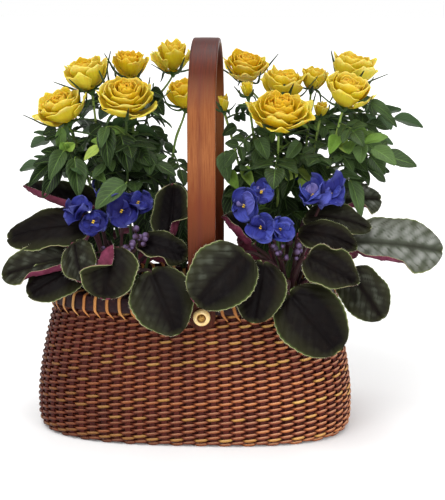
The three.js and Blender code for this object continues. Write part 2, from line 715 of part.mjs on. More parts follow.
/** The green cup under a bloom, drawn out into narrow sepals that bend back. */
function calyx(rose, number) {
  const { up, side, other } = roseFrame(rose);
  const depth = calyxDepth(rose);
  const neck = Math.max(2, CALYX.neck * rose.radius);
  const middle = roseSeat(rose, depth / 2);
  const out = (angle) => side.clone().multiplyScalar(Math.cos(angle)).addScaledVector(other, Math.sin(angle));
  const points = [middle];
  const thickness = [depth];
  const triangles = [];
  const pitch = (2 * Math.PI) / CALYX.sepals;
  for (let k = 0; k < CALYX.sepals; k += 1) {
    const angle = pitch * (k + scatter(number));
    const reach = CALYX.reach * rose.radius * (0.8 + 0.4 * scatter(number + 10 * k));
    points.push(middle.clone().addScaledVector(out(angle - pitch / 2), neck));
    const drop = up.clone().multiplyScalar(-CALYX.drop * rose.radius);
    points.push(middle.clone().addScaledVector(out(angle), reach).add(drop));
    thickness.push(0.7 * depth, LEAFLET_THICKNESS);
    const [notch, tip] = [1 + 2 * k, 2 + 2 * k];
    const nextNotch = 1 + ((2 * (k + 1)) % (2 * CALYX.sepals));
    triangles.push([0, notch, tip], [0, tip, nextNotch]);
  }
  return thicken(points, triangles, thickness);
}

/**
 * A rose leaf as one thin arched blade, cut to its rib between five leaflets. A leaflet joins
 * the rib along a short neck, and `tilt` turns it from the rib's direction.
 */
function roseLeaf(base, direction, faces, length) {
  const { forward, side, normal } = axes(direction, faces);
  const place = (along, across, fold = 0) => base.clone().addScaledVector(forward, along * length)
    .addScaledVector(side, across * length)
    .addScaledVector(normal, fold * length)
    .add(vec(0, 0, -0.2 * length * along * along));
  const ribHalf = 0.018;
  const necks = [[0.36, 0.42], [0.62, 0.68]];
  const stations = [-0.05, ...necks.flat(), 0.86];
  const points = stations.flatMap((along) => [place(along, -ribHalf), place(along, ribHalf)]);
  const triangles = [];
  for (let i = 0; i + 1 < stations.length; i += 1) {
    const [left, right, nextLeft, nextRight] = [2 * i, 2 * i + 1, 2 * i + 2, 2 * i + 3];
    triangles.push([left, nextLeft, right], [right, nextLeft, nextRight]);
  }
  // Half a leaflet's outline from its neck to its tip: [along, across], as shares of its length.
  const outline = [[0.25, 0.27], [0.6, 0.29]];
  const addLeaflet = (from, to, along, across, tilt, size) => {
    const turn = ([u, v]) => {
      const [c, s] = [Math.cos(tilt), Math.sin(tilt)];
      return place(along + size * (u * c - v * s), across + size * (u * s + v * c),
        0.3 * size * Math.abs(v));
    };
    const first = points.length;
    const mirrored = outline.map(([u, v]) => [u, -v]).reverse();
    points.push(...[...outline, [1, 0], ...mirrored].map(turn));
    const [near, far, tip, farBack, nearBack] = [0, 1, 2, 3, 4].map((i) => first + i);
    triangles.push([tip, far, near], [tip, near, from], [tip, from, to]);
    triangles.push([tip, to, nearBack], [tip, nearBack, farBack]);
  };
  necks.forEach(([low, high], pair) => {
    const size = 0.36 + 0.05 * pair;
    const at = (low + high) / 2;
    const row = 2 * (1 + 2 * pair);
    addLeaflet(row + 2, row, at, -ribHalf, -0.95, size);
    addLeaflet(row + 1, row + 3, at, ribHalf, 0.95, size);
  });
  const end = 2 * (stations.length - 1);
  addLeaflet(end + 1, end, 0.86, 0, 0, 0.5);
  return thicken(points, triangles, LEAFLET_THICKNESS);
}

/** The points that a rose's cane runs through, from its stock to its calyx. */
function canePoints(rose, number) {
  const [x, y] = ROSE_STOCKS[rose.side].at;
  const angle = 2.4 * number;
  const root = vec(x + 3 * Math.cos(angle), y + 3 * Math.sin(angle), SOIL.crownZ);
  const top = roseSeat(rose, 0.6 * calyxDepth(rose));
  const bend = root.clone().lerp(top, 0.5).add(vec(0.1 * (top.x - x), 0.1 * (top.y - y), 4));
  const middle = rose.via ? rose.via.map(fromArray) : [bend];
  return [root, ...middle, top];
}

const LEAF_SHARES = [0.71, 0.85]; // where leaves stand along each cane
const BUD_RADIUS = 10; // a bud's cane has one leaf less
const LEAF_LENGTH = 52;
const FOLIAGE_DEPTH = 100; // how far leaves reach to the front or back
const LEAF_SWINGS = [0, 0.7, -0.7, 1.4, -1.4, 2.1, -2.1]; // headings tried in turn

/** True when a leaf here would reach too far out or crowd a bloom. */
function leafIsBlocked(base, tip) {
  if (Math.abs(tip.y) > FOLIAGE_DEPTH) return true;
  return [0, 0.5, 1].some((share) => {
    const p = base.clone().lerp(tip, share);
    const room = share === 0 ? 2 : 10;
    return ROSES.some((rose) => p.distanceTo(fromArray(rose.at)) < rose.radius + room);
  });
}

/** The first leaf at a point of a cane that touches no piece around it, or none. */
function leafAt(side, base, drop, seed, around) {
  const [x, y] = ROSE_STOCKS[side].at;
  const home = Math.atan2(base.y - y, base.x - x);
  const faces = vec(0, base.y < y + 8 ? -0.8 : 0.8, 1);
  const length = LEAF_LENGTH * (0.85 + 0.3 * scatter(seed + 90));
  for (const swing of LEAF_SWINGS) {
    const heading = home + swing + 1.2 * (scatter(seed + 50) - 0.5);
    const direction = vec(Math.cos(heading), Math.sin(heading), 0.3 - drop).normalize();
    const tip = base.clone().addScaledVector(direction, 1.3 * length);
    if (leafIsBlocked(base, tip)) continue;
    const blade = roseLeaf(base, direction, faces, length);
    if (around.every((other) => other.intersect(blade).isEmpty())) return blade;
  }
  return null;
}

/** A rose bush without its leaves: the stock, and a cane with a calyx for each bloom. */
function roseCanes(side) {
  const { at, radius } = ROSE_STOCKS[side];
  const parts = [stock(at, radius, SOIL.crownZ + 8)];
  ROSES.forEach((rose, number) => {
    if (rose.side !== side) return;
    parts.push(stalk(canePoints(rose, number), CANE_RADIUS, 3, 4), calyx(rose, number));
  });
  return fuse(parts);
}

/** Leaves on the canes of one side, each clear of the pieces around and of the last ones. */
function roseLeaves(side, obstacles) {
  const leaves = [];
  ROSES.forEach((rose, number) => {
    if (rose.side !== side) return;
    const curve = new THREE.CatmullRomCurve3(canePoints(rose, number));
    const shares = rose.radius > BUD_RADIUS ? LEAF_SHARES : LEAF_SHARES.slice(0, 1);
    shares.forEach((share, k) => {
      const seed = 7 * number + k;
      const base = curve.getPointAt(share + 0.06 * (scatter(seed) - 0.5));
      const blade = leafAt(side, base, 0.2 * k, seed, [...obstacles, ...leaves]);
      if (blade) leaves.push(blade);
    });
  });
  return leaves;
}

// ---------------------------------------------------------------- violets

/** Half-width of a round blade, as a share of its widest, from base to tip. */
function roundOutline(share) {
  const bent = share ** 0.85;
  return Math.sqrt(Math.max(0, 1 - Math.abs(2 * bent - 1) ** 2.2));
}

const VIOLET_ROWS = 6;
const SCALLOP = 0.06;
const VIOLET_STOCK = { radius: 8, top: 134 };
const LEAF_STALK = { half: 1.8, thickness: 3.4, bow: 7 };

/** Where a stalk leaves the crown's side, towards a point. `tier` counts down the crown. */
function crownPoint(plant, to, tier) {
  const [x, y] = plant.at;
  const outward = vec(to.x - x, to.y - y, 0).setLength(VIOLET_STOCK.radius - 2.5);
  return vec(x, y, VIOLET_STOCK.top - 3 - tier).add(outward);
}

/** The solid of a violet leaf: a strip for its stalk, which widens into a cupped round blade. */
function violetLeaf(plant, shape, tier) {
  const base = fromArray(shape.base);
  const faces = fromArray(shape.faces);
  const run = fromArray(shape.tip).sub(base);
  const length = run.length();
  const { forward, side, normal } = axes(run, faces);
  const points = [];
  const sizes = [];
  const thickness = [];
  const addRow = (row, thick) => {
    points.push(...row);
    sizes.push(row.length);
    thickness.push(...row.map(() => thick));
  };
  const start = crownPoint(plant, base, tier);
  const middle = start.clone().lerp(base, 0.5).add(vec(0, 0, LEAF_STALK.bow));
  const stations = [[start, middle.clone().sub(start)], [middle, base.clone().sub(start)], [base, run]];
  for (const [at, direction] of stations) {
    const across = axes(direction, faces).side;
    if (across.dot(side) < 0) across.negate();
    addRow([-1, 1].map((hand) => at.clone().addScaledVector(across, hand * LEAF_STALK.half)),
      LEAF_STALK.thickness);
  }
  for (let row = 1; row <= VIOLET_ROWS; row += 1) {
    const share = row / VIOLET_ROWS;
    const fullness = roundOutline(share);
    const half = (shape.width / 2) * fullness * (1 + (row % 2 ? SCALLOP : -SCALLOP));
    const rise = shape.arch * length * 4 * share * (1 - share);
    const columns = row === VIOLET_ROWS ? [0] : [-1, 0, 1];
    addRow(columns.map((across) => {
      const lift = rise + shape.cup * (shape.width / 2) * fullness * across * across;
      return base.clone().addScaledVector(forward, length * share)
        .addScaledVector(side, half * across).addScaledVector(normal, lift);
    }), VIOLET_LEAF_THICKNESS);
  }
  return thicken(points, rowTriangles(sizes), thickness);
}

function flowerStalk(plant, to, radius) {
  const start = crownPoint(plant, to, 0);
  const middle = start.clone().lerp(to, 0.5).add(vec(0, 0, 4));
  return stalk([start, middle, to], radius, 3, 2);
}

/** The plant's own stalk for a cluster of flowers, ending just under where theirs meet. */
function clusterStalk(plant, name, cluster) {
  const meeting = clusterMeeting(CLUSTERS[name]);
  for (let drop = 0; drop < DEEPEST_SEAT; drop += GAP / 2) {
    const raised = flowerStalk(plant, meeting.clone().add(vec(0, 0, GAP - drop)), 1.3);
    if (raised.intersect(cluster).isEmpty()) return raised.translate([0, 0, -GAP]);
  }
  throw new Error(`no seat under ${name}`);
}

function violetPlant(plant, clusters) {
  const parts = [stock(plant.at, VIOLET_STOCK.radius, VIOLET_STOCK.top)];
  plant.leaves.forEach((shape, tier) => parts.push(violetLeaf(plant, shape, tier)));
  for (const name of plant.clusters) parts.push(clusterStalk(plant, name, clusters[name]));
  for (const at of plant.buds) {
    const top = fromArray(at);
    parts.push(flowerStalk(plant, top, 1.1), turned([[0, -1], [3, 1.5], [0, 6]], 5, top, vec(0.1, -0.4, 1)));
  }
  return tidy(fuse(parts));
}

const STALKS_MEET = 7; // how far behind the flowers
const DEEPEST_SEAT = 4; // how far under it the plant's own stalk may end
const VIOLET_PETALS = {
  count: 5, turn: 0, wave: 0.24, heart: [0, 0], notch: [0.4, 0.06],
  shoulder: [0.92, 0.2], lip: [1, 0.12],
};

function violetFlower(flower, seed) {
  const up = fromArray(flower.faces).normalize();
  const frame = { at: fromArray(flower.at), up, ...crossAxes(up) };
  const shape = { ...VIOLET_PETALS, turn: 2 * scatter(seed) };
  return lobedSheet(frame, flower.radius, shape, FLOWER_THICKNESS, seed);
}

/** The point behind a cluster's flowers where their short stalks meet. */
function clusterMeeting(flowers) {
  const meeting = vec(0, 0, 0);
  for (const { at, faces } of flowers) {
    const behind = fromArray(faces).setLength(-STALKS_MEET);
    meeting.add(fromArray(at).add(behind).divideScalar(flowers.length));
  }
  return meeting;
}

/** Flowers whose short stalks, in their own colour, meet behind their faces. */
function violetCluster(flowers, number) {
  const parts = flowers.map((flower, k) => violetFlower(flower, 40 * number + 7 * k));
  for (const { at } of flowers) parts.push(bar(clusterMeeting(flowers), fromArray(at), 1.5, 3));
  return tidy(fuse(parts));
}

// ---------------------------------------------------------------- assembly

const arrangement = new THREE.Group();

function addPiece(name, solid, look) {
  const mesh = new THREE.Mesh(toGeometry(solid), new THREE.MeshStandardMaterial(look));
  mesh.name = name;
  arrangement.add(mesh);
}

addPiece('basket_shell', basketShell(), MATERIALS.cane);
addPiece('rim_outer', rimOuter(), MATERIALS.rim);
addPiece('rim_inner', rimInner(), MATERIALS.rim);
const handle = handleStrip();
addPiece('handle', handle, MATERIALS.wood);
for (const [place, outward] of [['front', -1], ['back', 1]]) {
  addPiece(`knob_${place}`, knob(outward), MATERIALS.bone);
  addPiece(`pin_${place}`, pin(outward), MATERIALS.brass);
}

const stocks = [
  ...Object.values(ROSE_STOCKS),
  ...Object.values(VIOLETS).map((plant) => ({ at: plant.at, radius: VIOLET_STOCK.radius })),
];
addPiece('liner', liner(), MATERIALS.liner);
addPiece('soil', soil(stocks), MATERIALS.soil);

const blooms = ROSES.map(roseBloom);
const clusters = Object.fromEntries(Object.entries(CLUSTERS).map(([place, flowers], i) => (
  [place, violetCluster(flowers, i)])));
const violets = Object.values(VIOLETS).map((plant) => violetPlant(plant, clusters));
const canes = { left: roseCanes('left'), right: roseCanes('right') };
const around = [...blooms, ...violets, ...Object.values(clusters), ...swingRoom(handle), handRoom()];
const leftLeaves = roseLeaves('left', [...around, canes.right]);
const rightLeaves = roseLeaves('right', [...around, canes.left, ...leftLeaves]);
addPiece('rose_bush_left', tidy(fuse([canes.left, ...leftLeaves])), MATERIALS.roseLeaf);
addPiece('rose_bush_right', tidy(fuse([canes.right, ...rightLeaves])), MATERIALS.roseLeaf);
blooms.forEach((bloom, i) => {
  addPiece(`rose_bloom_${String(i + 1).padStart(2, '0')}`, bloom, MATERIALS.petal);
});
Object.keys(VIOLETS).forEach((place, i) => {
  addPiece(`violet_${place}`, violets[i], MATERIALS.violetLeaf);
});
Object.entries(clusters).forEach(([place, cluster]) => {
  addPiece(`violet_flowers_${place}`, cluster, MATERIALS.violetFlower);
});

export default arrangement;
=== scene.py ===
# The looks of the planted flower basket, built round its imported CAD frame.
# Lengths are millimetres until a mesh is made; +Z up, +X to the viewer's right, -Y to the front.

from collections import namedtuple
import math

import bpy
import numpy as np
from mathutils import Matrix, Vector


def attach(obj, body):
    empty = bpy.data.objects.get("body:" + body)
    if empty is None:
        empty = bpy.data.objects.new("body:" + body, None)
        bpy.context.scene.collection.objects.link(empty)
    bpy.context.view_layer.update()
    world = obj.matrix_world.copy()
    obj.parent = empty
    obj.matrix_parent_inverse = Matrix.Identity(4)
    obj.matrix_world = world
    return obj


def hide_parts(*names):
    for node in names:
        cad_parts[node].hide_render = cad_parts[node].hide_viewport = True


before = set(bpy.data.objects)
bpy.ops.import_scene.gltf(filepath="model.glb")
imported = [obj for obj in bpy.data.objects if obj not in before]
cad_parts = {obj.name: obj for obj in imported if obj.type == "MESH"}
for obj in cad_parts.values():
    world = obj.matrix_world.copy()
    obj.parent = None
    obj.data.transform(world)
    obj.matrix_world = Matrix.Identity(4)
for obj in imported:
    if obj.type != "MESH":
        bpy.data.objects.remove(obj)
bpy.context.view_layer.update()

MM = 0.001
TURN = 2 * np.pi

# ------------------------------------------------------------------ helpers


def vec(*xyz):
    return np.array(xyz, float)


def unit(v):
    v = np.asarray(v, float)
    return v / np.maximum(np.linalg.norm(v, axis=-1, keepdims=True), 1e-9)


def lerp(a, b, t):
    return a + (b - a) * t


def scatter(n):
    """The part's own repeatable number from 0 to 1 for a whole number."""
    s = math.sin(n * 12.9898) * 43758.5453
    return s - math.floor(s)


def smooth(t):
    t = np.clip(t, 0, 1)
    return t * t * (3 - 2 * t)


def phase(rng):
    """A random phase for a wave."""
    return rng.uniform(0, 6.28)


def axes(along, facing):
    """Three axes with `along` kept and `facing` turned square to it."""
    forward = unit(along)
    side = unit(np.cross(facing, forward))
    return forward, side, np.cross(forward, side)


def cross_axes(direction):
    """Two axes square to a direction."""
    spare = vec(0, 0, 1) if abs(direction[2]) < 0.9 else vec(1, 0, 0)
    side = unit(np.cross(spare, direction))
    return side, np.cross(direction, side)


def around(angle, side, other):
    return side * math.cos(angle) + other * math.sin(angle)


def curve_point(points, t):
    """A point of the centripetal Catmull-Rom curve that the part's canes follow."""
    last = len(points) - 1
    at = min(last * t, last - 1e-9)
    i = int(at)
    w = at - i
    p1, p2 = points[i], points[i + 1]
    p0 = points[i - 1] if i > 0 else 2 * points[0] - points[1]
    p3 = points[i + 2] if i + 2 <= last else 2 * points[last] - points[last - 1]
    dt0, dt1, dt2 = [float(np.sum((b - a) ** 2)) ** 0.25 for a, b in ((p0, p1), (p1, p2), (p2, p3))]
    dt1 = dt1 if dt1 > 1e-4 else 1.0
    dt0 = dt0 if dt0 > 1e-4 else dt1
    dt2 = dt2 if dt2 > 1e-4 else dt1
    t1 = ((p1 - p0) / dt0 - (p2 - p0) / (dt0 + dt1) + (p2 - p1) / dt1) * dt1
    t2 = ((p2 - p1) / dt1 - (p3 - p1) / (dt1 + dt2) + (p3 - p2) / dt2) * dt1
    c2 = -3 * p1 + 3 * p2 - 2 * t1 - t2
    c3 = 2 * p1 - 2 * p2 + t1 + t2
    return p1 + t1 * w + c2 * w * w + c3 * w ** 3


def lengths_along(path):
    """The length of a path up to each of its points."""
    return np.concatenate([[0], np.cumsum(np.linalg.norm(np.diff(path, axis=0), axis=1))])


def curve_samples(points, count):
    """Points at equal lengths along that curve."""
    shares = np.linspace(0, 1, 201)
    lengths = lengths_along(np.array([curve_point(points, t) for t in shares]))
    places = np.interp(np.linspace(0, lengths[-1], count), lengths, shares)
    return np.array([curve_point(points, t) for t in places])


class Build:
    """Closed bodies collected into one mesh, with four values for each point."""

    VALUES = ("tone", "along", "edge", "face")

    def __init__(self):
        self.points, self.faces, self.kinds, self.count = [], [], [], 0
        self.values = {name: [] for name in self.VALUES}

    def add(self, points, faces, kind=0, **values):
        self.points.append(points)
        for group in faces:
            self.faces.append(group + self.count)
            self.kinds.append(np.full(len(group), kind))
        for name in self.VALUES:
            self.values[name].append(np.broadcast_to(values.get(name, 0.0), len(points)))
        self.count += len(points)

    def mesh(self, name):
        mesh = bpy.data.meshes.new(name)
        sizes = np.concatenate([np.full(len(f), f.shape[1]) for f in self.faces])
        corners = np.concatenate([f.ravel() for f in self.faces])
        mesh.vertices.add(self.count)
        mesh.vertices.foreach_set("co", (np.concatenate(self.points) * MM).astype(np.float32).ravel())
        mesh.loops.add(len(corners))
        mesh.loops.foreach_set("vertex_index", corners.astype(np.int32))
        mesh.polygons.add(len(sizes))
        mesh.polygons.foreach_set("loop_start", (np.cumsum(sizes) - sizes).astype(np.int32))
        mesh.polygons.foreach_set("material_index", np.concatenate(self.kinds).astype(np.int32))
        mesh.update(calc_edges=True)
        for value, parts in self.values.items():
            attribute = mesh.attributes.new(value, "FLOAT", "POINT")
            attribute.data.foreach_set("value", np.concatenate(parts).astype(np.float32))
        mesh.shade_smooth()
        return mesh


def linked(name, data):
    obj = bpy.data.objects.new(name, data)
    bpy.context.scene.collection.objects.link(obj)
    return obj


def piece(name, build, looks, body, node):
    """An object from a build, riding on a body, in place of a CAD node."""
    obj = linked(name, build.mesh(name))
    for look in looks:
        obj.data.materials.append(look)
    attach(obj, body)
    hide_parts(node)
    return obj


def sheet(build, grid, thickness, kind=0, **values):
    """A closed thin sheet round a grid of points. The upper side is where columns cross rows."""
    rows, cols = grid.shape[:2]
    normal = unit(np.cross(np.gradient(grid, axis=1), np.gradient(grid, axis=0)))
    half = normal * np.broadcast_to(thickness, (rows, cols))[..., None] / 2
    i = np.arange(rows * cols).reshape(rows, cols)
    upper = np.stack([i[:-1, :-1], i[:-1, 1:], i[1:, 1:], i[1:, :-1]], -1).reshape(-1, 4)
    rim = np.concatenate([i[0], i[1:, -1], i[-1, -2::-1], i[-2:0:-1, 0]])
    ahead = np.roll(rim, -1)
    n = rows * cols
    wall = np.stack([ahead, rim, rim + n, ahead + n], -1)
    points = np.concatenate([(grid + half).reshape(-1, 3), (grid - half).reshape(-1, 3)])
    both = {name: np.tile(np.broadcast_to(v, (rows, cols)).ravel(), 2) for name, v in values.items()}
    face = np.concatenate([np.ones(n), np.zeros(n)])
    build.add(points, [upper, upper[:, ::-1] + n, wall], kind, face=face, **both)


def stack(build, rings, ends=None, closed=False, kind=0, **values):
    """A closed body through rings of points: joined end to end, or with a fan over each end."""
    n, k = rings.shape[:2]
    i = np.arange(n * k).reshape(n, k)
    here, ahead = (i, np.roll(i, -1, 0)) if closed else (i[:-1], i[1:])
    faces = [np.stack([here, np.roll(here, -1, 1), np.roll(ahead, -1, 1), ahead], -1).reshape(-1, 4)]
    points = rings.reshape(-1, 3)
    spread = {}
    for name, value in values.items():
        value = np.asarray(value, float)
        value = value[:, None] if value.ndim == 1 else value
        spread[name] = np.broadcast_to(value, (n, k)).ravel()
    if not closed:
        points = np.concatenate([points, (rings[0].mean(0), rings[-1].mean(0)) if ends is None else ends])
        for cap, (a, b) in enumerate(((np.roll(i[0], -1), i[0]), (i[-1], np.roll(i[-1], -1)))):
            faces.append(np.stack([np.full(k, n * k + cap), a, b], -1))
        spread = {name: np.append(v, [v[0], v[-1]]) for name, v in spread.items()}
    build.add(points, faces, kind, **spread)


def sweep(build, path, side, other, outline, closed=False, kind=0, **values):
    """A closed body along a path. `outline` is (sections or 1, corners, 2) along side and other."""
    path, outline = np.asarray(path, float), np.asarray(outline, float)
    outline = np.broadcast_to(outline, (len(path),) + outline.shape[-2:])
    rings = path[:, None] + outline[..., :1] * side[:, None] + outline[..., 1:] * other[:, None]
    stack(build, rings, path[[0, -1]], closed, kind, **values)


def circle(sides):
    a = TURN * np.arange(sides) / sides
    return np.stack([np.cos(a), np.sin(a)], -1)


def tube(build, path, radius, sides=8, kind=0, flat=1.0, **values):
    """A round or flattened stalk along a path."""
    path = np.asarray(path, float)
    tangent = unit(np.gradient(path, axis=0))
    side = np.empty_like(path)
    side[0] = cross_axes(tangent[0])[0]
    for i in range(1, len(path)):
        side[i] = unit(side[i - 1] - tangent[i] * np.dot(side[i - 1], tangent[i]))
    radius = np.broadcast_to(np.asarray(radius, float), len(path))
    outline = radius[:, None, None] * circle(sides) * vec(1, flat)
    along = np.linspace(0, 1, len(path))
    sweep(build, path, side, np.cross(tangent, side), outline, kind=kind, along=along, **values)


def turned(build, profile, sides, at, direction, kind=0, ripple=1.0, **values):
    """A turned body of [radius, height] points along a direction, closed at both ends."""
    profile = np.asarray(profile, float)
    n = len(profile)
    up = unit(direction)
    side, other = cross_axes(up)
    path = np.asarray(at, float) + profile[:, 1:] * up
    ripple = np.broadcast_to(ripple, (n, sides))[..., None]
    outline = np.maximum(profile[:, 0], 1e-3)[:, None, None] * circle(sides) * ripple
    values.setdefault("along", np.linspace(0, 1, n))
    sweep(build, path, np.tile(side, (n, 1)), np.tile(other, (n, 1)), outline, kind=kind, **values)


def ball(build, at, radius, direction, length, sides, rings, kind=0, **values):
    """An egg of a radius and a half-length about a point."""
    a = np.linspace(0, np.pi, rings + 1)
    profile = np.stack([radius * np.sin(a), -length * np.cos(a)], -1)
    turned(build, profile, sides, at, direction, kind, **values)


# ------------------------------------------------------------------ materials

SOCKETS = {"specular": "Specular IOR Level", "coat": "Coat Weight", "coat_rough": "Coat Roughness",
           "rough": "Roughness"}


def rgb(r, g, b):
    """A colour of 0 to 255 steps as the linear value that a shader takes."""
    line = [c / 255 for c in (r, g, b)]
    return tuple(c / 12.92 if c <= 0.04045 else ((c + 0.055) / 1.055) ** 2.4 for c in line) + (1.0,)


class Look:
    """A material: nodes that end in one Principled shader. Colours are 0 to 255 steps."""

    def __init__(self, name, **constants):
        self.material = bpy.data.materials.new(name)
        self.material.use_nodes = True
        self.tree = self.material.node_tree
        self.shader = self.tree.nodes["Principled BSDF"]
        for socket, value in constants.items():
            self.shader.inputs[SOCKETS.get(socket, socket.replace("_", " "))].default_value = value

    def node(self, kind, inputs=(), output=0, **settings):
        node = self.tree.nodes.new("ShaderNode" + kind)
        for name, value in settings.items():
            setattr(node, name, value)
        for socket, value in dict(inputs).items():
            if isinstance(value, bpy.types.NodeSocket):
                self.tree.links.new(value, node.inputs[socket])
            else:
                node.inputs[socket].default_value = value
        return node.outputs[output]

    def values(self, *names):
        return [self.node("Attribute", output="Fac", attribute_name=name) for name in names]

    def place(self, *scale):
        at = self.node("TexCoord", output="Object")
        return self.node("Mapping", {"Vector": at, "Scale": scale or (1, 1, 1)})

    def axis(self, number):
        """A coordinate of the object: 0 is across, 2 is height."""
        return self.node("SeparateXYZ", {0: self.node("TexCoord", output="Object")}, output=number)

    def noise(self, scale, detail=3.0, vector=None, roughness=0.55):
        inputs = {"Vector": vector or self.place(), "Scale": scale, "Detail": detail, "Roughness": roughness}
        return self.node("TexNoise", inputs)

    def streaks(self, a, a_scale, b, b_scale, c=0.0, detail=4.0, roughness=0.55):
        """Noise drawn out over two values of the mesh."""
        spread = {0: self.math("MULTIPLY", a, a_scale), 1: self.math("MULTIPLY", b, b_scale), 2: c}
        return self.noise(1.0, detail, self.node("CombineXYZ", spread), roughness)

    def math(self, operation, a, b=0.5):
        return self.node("Math", {0: a, 1: b}, operation=operation)

    def range(self, value, low, high, to_low=0.0, to_high=1.0):
        return self.node("MapRange", {0: value, 1: low, 2: high, 3: to_low, 4: to_high})

    def ramp(self, factor, *stops):
        """Stops are (place, red, green, blue), or a place and a linear colour of four values."""
        node = self.tree.nodes.new("ShaderNodeValToRGB")
        elements = node.color_ramp.elements
        while len(elements) < len(stops):
            elements.new(0.5)
        for element, (at, *colour) in zip(elements, stops):
            element.position = at
            element.color = rgb(*colour) if len(colour) == 3 else colour
        self.tree.links.new(factor, node.inputs[0])
        return node.outputs[0]

    def mix(self, factor, a, b, blend="MIX"):
        a, b = [rgb(*c) if isinstance(c, tuple) else c for c in (a, b)]
        return self.node("Mix", {0: factor, 6: a, 7: b}, 2, data_type="RGBA", blend_type=blend)

    def blend(self, base, colour, value, low, high, start=0.0, end=1.0):
        """A base with more or less of a colour, as a value goes from low to high."""
        return self.mix(self.range(value, low, high, start, end), base, colour)

    def link(self, value, socket):
        self.tree.links.new(value, self.shader.inputs[socket])

    def finish(self, colour, mask, distance=None, rough=None, height=None, strength=1.0):
        """The material, with its roughness and bump led by a mask."""
        self.link(colour, "Base Color")
        if rough:
            self.link(self.range(mask, 0.3, 0.8, *rough), "Roughness")
        if distance:
            inputs = {"Height": height or mask, "Distance": distance, "Strength": strength}
            self.link(self.node("Bump", inputs), "Normal")
        return self.material


def plain(name, scale, detail, stretch, stops, distance=None, rough=None, **constants):
    """A material of one noise, drawn out upwards by its stretch."""
    look = Look(name, **constants)
    grain = look.noise(scale, detail, look.place(1, 1, stretch))
    return look.finish(look.ramp(grain, *stops), grain, distance, rough)


def mottled(name, value, stops, spots, noise, stretch, window, distance, rough=None, **constants):
    """A material whose colour follows a value of the mesh, with spots of another."""
    look = Look(name, **constants)
    mottle = look.noise(*noise, look.place(*stretch))
    base = look.blend(look.ramp(*look.values(value), *stops), spots, mottle, *window)
    return look.finish(base, mottle, distance, rough)


def cane_look():
    """Split cane: chestnut strands with odd golden ones; painted shade in the hollows, painted highlight on
    the crests.
    """
    look = Look("woven_cane", specular=0.12, coat=0.08, coat_rough=0.3)
    tone, along, depth, face = look.values("tone", "along", "edge", "face")
    fibres = look.streaks(along, 18.0, face, 9.0, tone)
    base = look.ramp(tone, (0.0, 138, 78, 54), (0.2, 178, 104, 62), (0.4, 154, 92, 70), (0.6, 208, 130, 76),
                     (0.78, 190, 116, 66), (0.84, 206, 150, 74), (1.0, 228, 184, 96))
    base = look.blend(base, (92, 44, 34), fibres, 0.4, 0.75, 0.0, 0.45)
    # painted shade: the lower side of each strand, turned away from the light overhead, is darker
    base = look.blend(base, (112, 48, 26), face, -0.9, 0.3, 0.7, 0.0)
    # painted highlight: a pale colour on the proud top of each strand, where the light strikes it
    painted_highlight = look.math("MULTIPLY", look.range(depth, 0.8, 0.98), look.range(face, 0.0, 0.8))
    base = look.mix(look.math("MULTIPLY", painted_highlight, 0.6), base, (236, 190, 152))
    # across the basket, darker purple-brown at the left to lighter tan at the right: partly the cane's own
    # colour, partly painted shade on the left and painted light on the right
    painted_side_light = look.ramp(look.range(look.axis(0), -0.13, 0.13), (0.0, 134, 112, 110), (0.5, 204, 194, 188),
                     (0.85, 255, 252, 246))
    base = look.mix(1.0, base, painted_side_light, "MULTIPLY")
    # painted shade in the hollows between the strands
    base = look.blend(base, (74, 26, 12), depth, 0.36, 0.88, 1.0, 0.0)
    return look.finish(base, fibres, 0.0003, (0.38, 0.62), strength=0.6)


def rim_look():
    look = Look("stained_rim", specular=0.12, coat=0.08, coat_rough=0.3)
    along, face = look.values("along", "face")
    grain = look.streaks(along, 160.0, face, 5.0)
    base = look.ramp(grain, (0.3, 22, 8, 13), (0.55, 42, 19, 23), (0.8, 66, 34, 29))
    return look.finish(base, grain, 0.0003, (0.35, 0.6))


def lashing_look():
    look = Look("lashing_cane", specular=0.15, coat=0.1, coat_rough=0.3)
    tone, along, face = look.values("tone", "along", "face")
    fibres = look.streaks(face, 12.0, along, 4.0, tone)
    base = look.ramp(tone, (0.0, 168, 100, 50), (0.5, 200, 138, 74), (1.0, 228, 176, 106))
    base = look.blend(base, (128, 66, 34), fibres, 0.4, 0.75, 0.0, 0.5)
    # painted shade: each strip darker towards both edges, where it turns away from the light, so that its
    # middle reads as lit
    base = look.blend(base, (82, 38, 22), look.math("ABSOLUTE", face), 0.5, 1.0, 0.0, 0.85)
    return look.finish(base, fibres, 0.0002, (0.35, 0.55))


def wood_look():
    """Varnished cherry: grain along the strip, a dark line at its middle, painted shade towards its ends."""
    look = Look("varnished_handle", specular=0.08, coat=0.03, coat_rough=0.3)
    along, across = look.values("along", "edge")
    lines = look.streaks(along, 3.2, across, 11.0, detail=5.0, roughness=0.6)
    fine = look.streaks(along, 26.0, across, 60.0, detail=3.0, roughness=0.7)
    # painted shade by height: dark low on the legs, where the plants' shadow falls, and dark purple-brown at
    # the top of the arch, where it turns away from the light
    base = look.ramp(look.range(look.axis(2), 0.1, 0.33), (0.0, 48, 20, 13), (0.26, 64, 28, 14),
                     (0.45, 110, 57, 29), (0.6, 144, 88, 50), (0.77, 138, 84, 48), (0.89, 74, 36, 22),
                     (0.98, 66, 44, 44))
    base = look.blend(base, (104, 46, 26), lines, 0.42, 0.66, 0.0, 0.6)
    base = look.blend(base, (88, 40, 26), fine, 0.45, 0.75, 0.0, 0.3)
    seam = look.math("ABSOLUTE", look.math("SUBTRACT", across, -0.12))
    base = look.blend(base, (82, 36, 34), seam, 0.0, 0.26, 0.42, 0.0)
    return look.finish(base, fine, 0.00015, (0.3, 0.45), strength=0.5)


